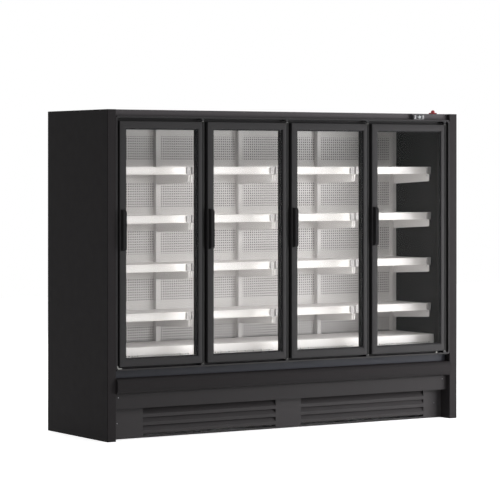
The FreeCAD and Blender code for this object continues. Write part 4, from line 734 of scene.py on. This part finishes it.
# Hinge plates are steel in black enamel, with a pale nylon washer on each pin. A washer's
# section is radius and mm from the door's end
washer_nylon = surface("natural_nylon_washer", "#8f8d89", 0.5, 1.0, 0.01)
dress(enamel, "hinge_brackets")
WASHER = (7.6, 0.3), (8.4, 0.3), (8.8, 0.8), (8.8, 2.6), (8.4, 3.1), (7.6, 3.1)
PIN_INSET = 16 * MM
washers = []
for number in range(1, DOORS + 1):
    low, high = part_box(f"door_edge_{number}")
    axle = (high[0] - PIN_INSET, front + PIN_INSET, 0)
    for end, way in ((low[2], -1), (high[2], 1)):
        rings = np.stack([along(2, round_outline(radius * MM, 20), [end + way * up * MM])[0]
                          for radius, up in WASHER])
        washers.append(copies(skin(rings, closed=True), axle))
make_piece("hinge_washers", washers, washer_nylon, "cabinet")

# Studio
# A plain pale floor, a white surround, soft light from the right front, and the strips'
# own light inside the case.
STUDIO_REACH = 14
floor_mesh = bpy.data.meshes.new("studio_floor")
floor_mesh.from_pydata([(-STUDIO_REACH, -STUDIO_REACH, 0), (STUDIO_REACH, -STUDIO_REACH, 0),
                        (STUDIO_REACH, STUDIO_REACH, 0), (-STUDIO_REACH, STUDIO_REACH, 0)],
                       [], [(0, 1, 2, 3)])
floor = bpy.data.objects.new("studio_floor", floor_mesh)
bpy.context.collection.objects.link(floor)


def in_sight(tree):
    """1 for a ray that shows the background: the most of camera, glossy and transmission."""
    path = add_node(tree, "ShaderNodeLightPath").outputs
    seen = add_node(tree, "ShaderNodeMath", {"operation": "MAXIMUM"},
                    {0: path["Is Camera Ray"], 1: path["Is Glossy Ray"]}).outputs[0]
    return add_node(tree, "ShaderNodeMath", {"operation": "MAXIMUM"},
                    {0: seen, 1: path["Is Transmission Ray"]}).outputs[0]


# Matt paper that the eye sees as white. It has no glow between the end walls from the
# kick plate to the rear, so the case's base stays in its own shade
DARK_FRONT, DARK_REAR = front + 101 * MM, rear - 16 * MM
paper = blank_material("pale_studio_paper")
tree = paper.node_tree
diffuse = add_node(tree, "ShaderNodeBsdfDiffuse", inputs={"Color": linear("#e6e6e6")})
parts = add_node(tree, "ShaderNodeSeparateXYZ", inputs={
    "Vector": add_node(tree, "ShaderNodeTexCoord").outputs["Object"]}).outputs
from_middle = add_node(tree, "ShaderNodeMath", {"operation": "SUBTRACT"},
                       {0: parts["Y"], 1: (DARK_FRONT + DARK_REAR) / 2}).outputs[0]
clear = []
for offset, half in ((parts["X"], inner), (from_middle, (DARK_REAR - DARK_FRONT) / 2)):
    size = add_node(tree, "ShaderNodeMath", {"operation": "ABSOLUTE"}, {0: offset})
    clear.append(add_node(tree, "ShaderNodeMath", {"operation": "GREATER_THAN"},
                          {0: size.outputs[0], 1: half}).outputs[0])
open_floor = add_node(tree, "ShaderNodeMath", {"operation": "MAXIMUM"},
                      {0: clear[0], 1: clear[1]}).outputs[0]
strength = add_node(tree, "ShaderNodeMath", {"operation": "MULTIPLY"},
                    {0: open_floor, 1: 0.75}).outputs[0]
glow = add_node(tree, "ShaderNodeEmission", inputs={
    "Color": linear("#ffffff"), "Strength": strength})
both = add_node(tree, "ShaderNodeAddShader", inputs={
    0: diffuse.outputs[0], 1: glow.outputs[0]})
mixed = add_node(tree, "ShaderNodeMixShader", inputs={
    0: in_sight(tree), 1: diffuse.outputs[0], 2: both.outputs[0]})
add_node(tree, "ShaderNodeOutputMaterial", inputs={"Surface": mixed.outputs[0]})
floor_mesh.materials.append(paper)

world = bpy.data.worlds.new("white_surround")
bpy.context.scene.world = world
world.use_nodes = True
tree = world.node_tree
tree.nodes.clear()
strength = add_node(tree, "ShaderNodeMapRange", inputs={
    "Value": in_sight(tree), "To Min": 0.39, "To Max": 1.0}).outputs["Result"]
sky = add_node(tree, "ShaderNodeBackground", inputs={
    "Color": linear("#ffffff"), "Strength": strength})
add_node(tree, "ShaderNodeOutputWorld", inputs={"Surface": sky.outputs[0]})


def soft_light(name, place, aim, wide, tall, power, tint="#ffffff"):
    """A rectangular lamp that faces a point."""
    data = bpy.data.lights.new(name, "AREA")
    data.shape = "RECTANGLE"
    data.size = wide
    data.size_y = tall
    data.energy = power
    data.color = linear(tint)[:3]
    lamp = bpy.data.objects.new(name, data)
    lamp.location = place
    course = Vector(aim) - Vector(place)
    lamp.rotation_euler = course.to_track_quat("-Z", "Y").to_euler()
    lamp.visible_camera = False
    bpy.context.collection.objects.link(lamp)
    return lamp


# The main lamp is a broad soft one near the right front. It has no mirror image, so the
# doors stay clear.
key = soft_light("key_light", (3.2, -3.2, 1.1), (0.9, 0, 1.0), 2.2, 1.8, 217)
key.visible_glossy = False
soft_light("side_light", (4.4, -3.3, 1.2), (1.0, 0, 1.0), 0.9, 1.6, 11)
soft_light("fill_light", (-3.0, -8.0, 5.0), (0, 0, 1.0), 4.0, 3.0, 66)
soft_light("top_light", (0.5, 0.5, 8.0), (0, 0, 1.0), 4.0, 3.0, 30)
soft_light("rear_light", (1.0, 6.5, 4.5), (0, 0.4, 1.0), 4.0, 3.0, 260)
# The strips' light: a broad lamp inside each door evens it out across the bay, and a
# narrow one beside each post brightens the shelf ends
STRIP_WHITE = "#fffdf8"
BAY_LAMP, POST_LAMP, BESIDE_POST = front + 85 * MM, front + 80 * MM, 34 * MM
lamp_high = (lens_low + lens_high) / 2
lamp_tall = lens_high - lens_low - 20 * MM
for near, far in zip(posts, posts[1:]):
    middle = (near + far) / 2
    soft_light("bay_light", (middle, BAY_LAMP, lamp_high), (middle, 0, lamp_high),
               0.46, lamp_tall, 1.9, STRIP_WHITE)
for post in posts[1:-1]:
    for way in (-1, 1):
        place = post + way * BESIDE_POST
        soft_light("strip_light", (place, POST_LAMP, lamp_high),
                   (place + way * 0.25, front + 0.5, lamp_high), 0.010, lamp_tall, 0.9,
                   STRIP_WHITE)

view = bpy.context.scene.view_settings
view.view_transform = "Standard"
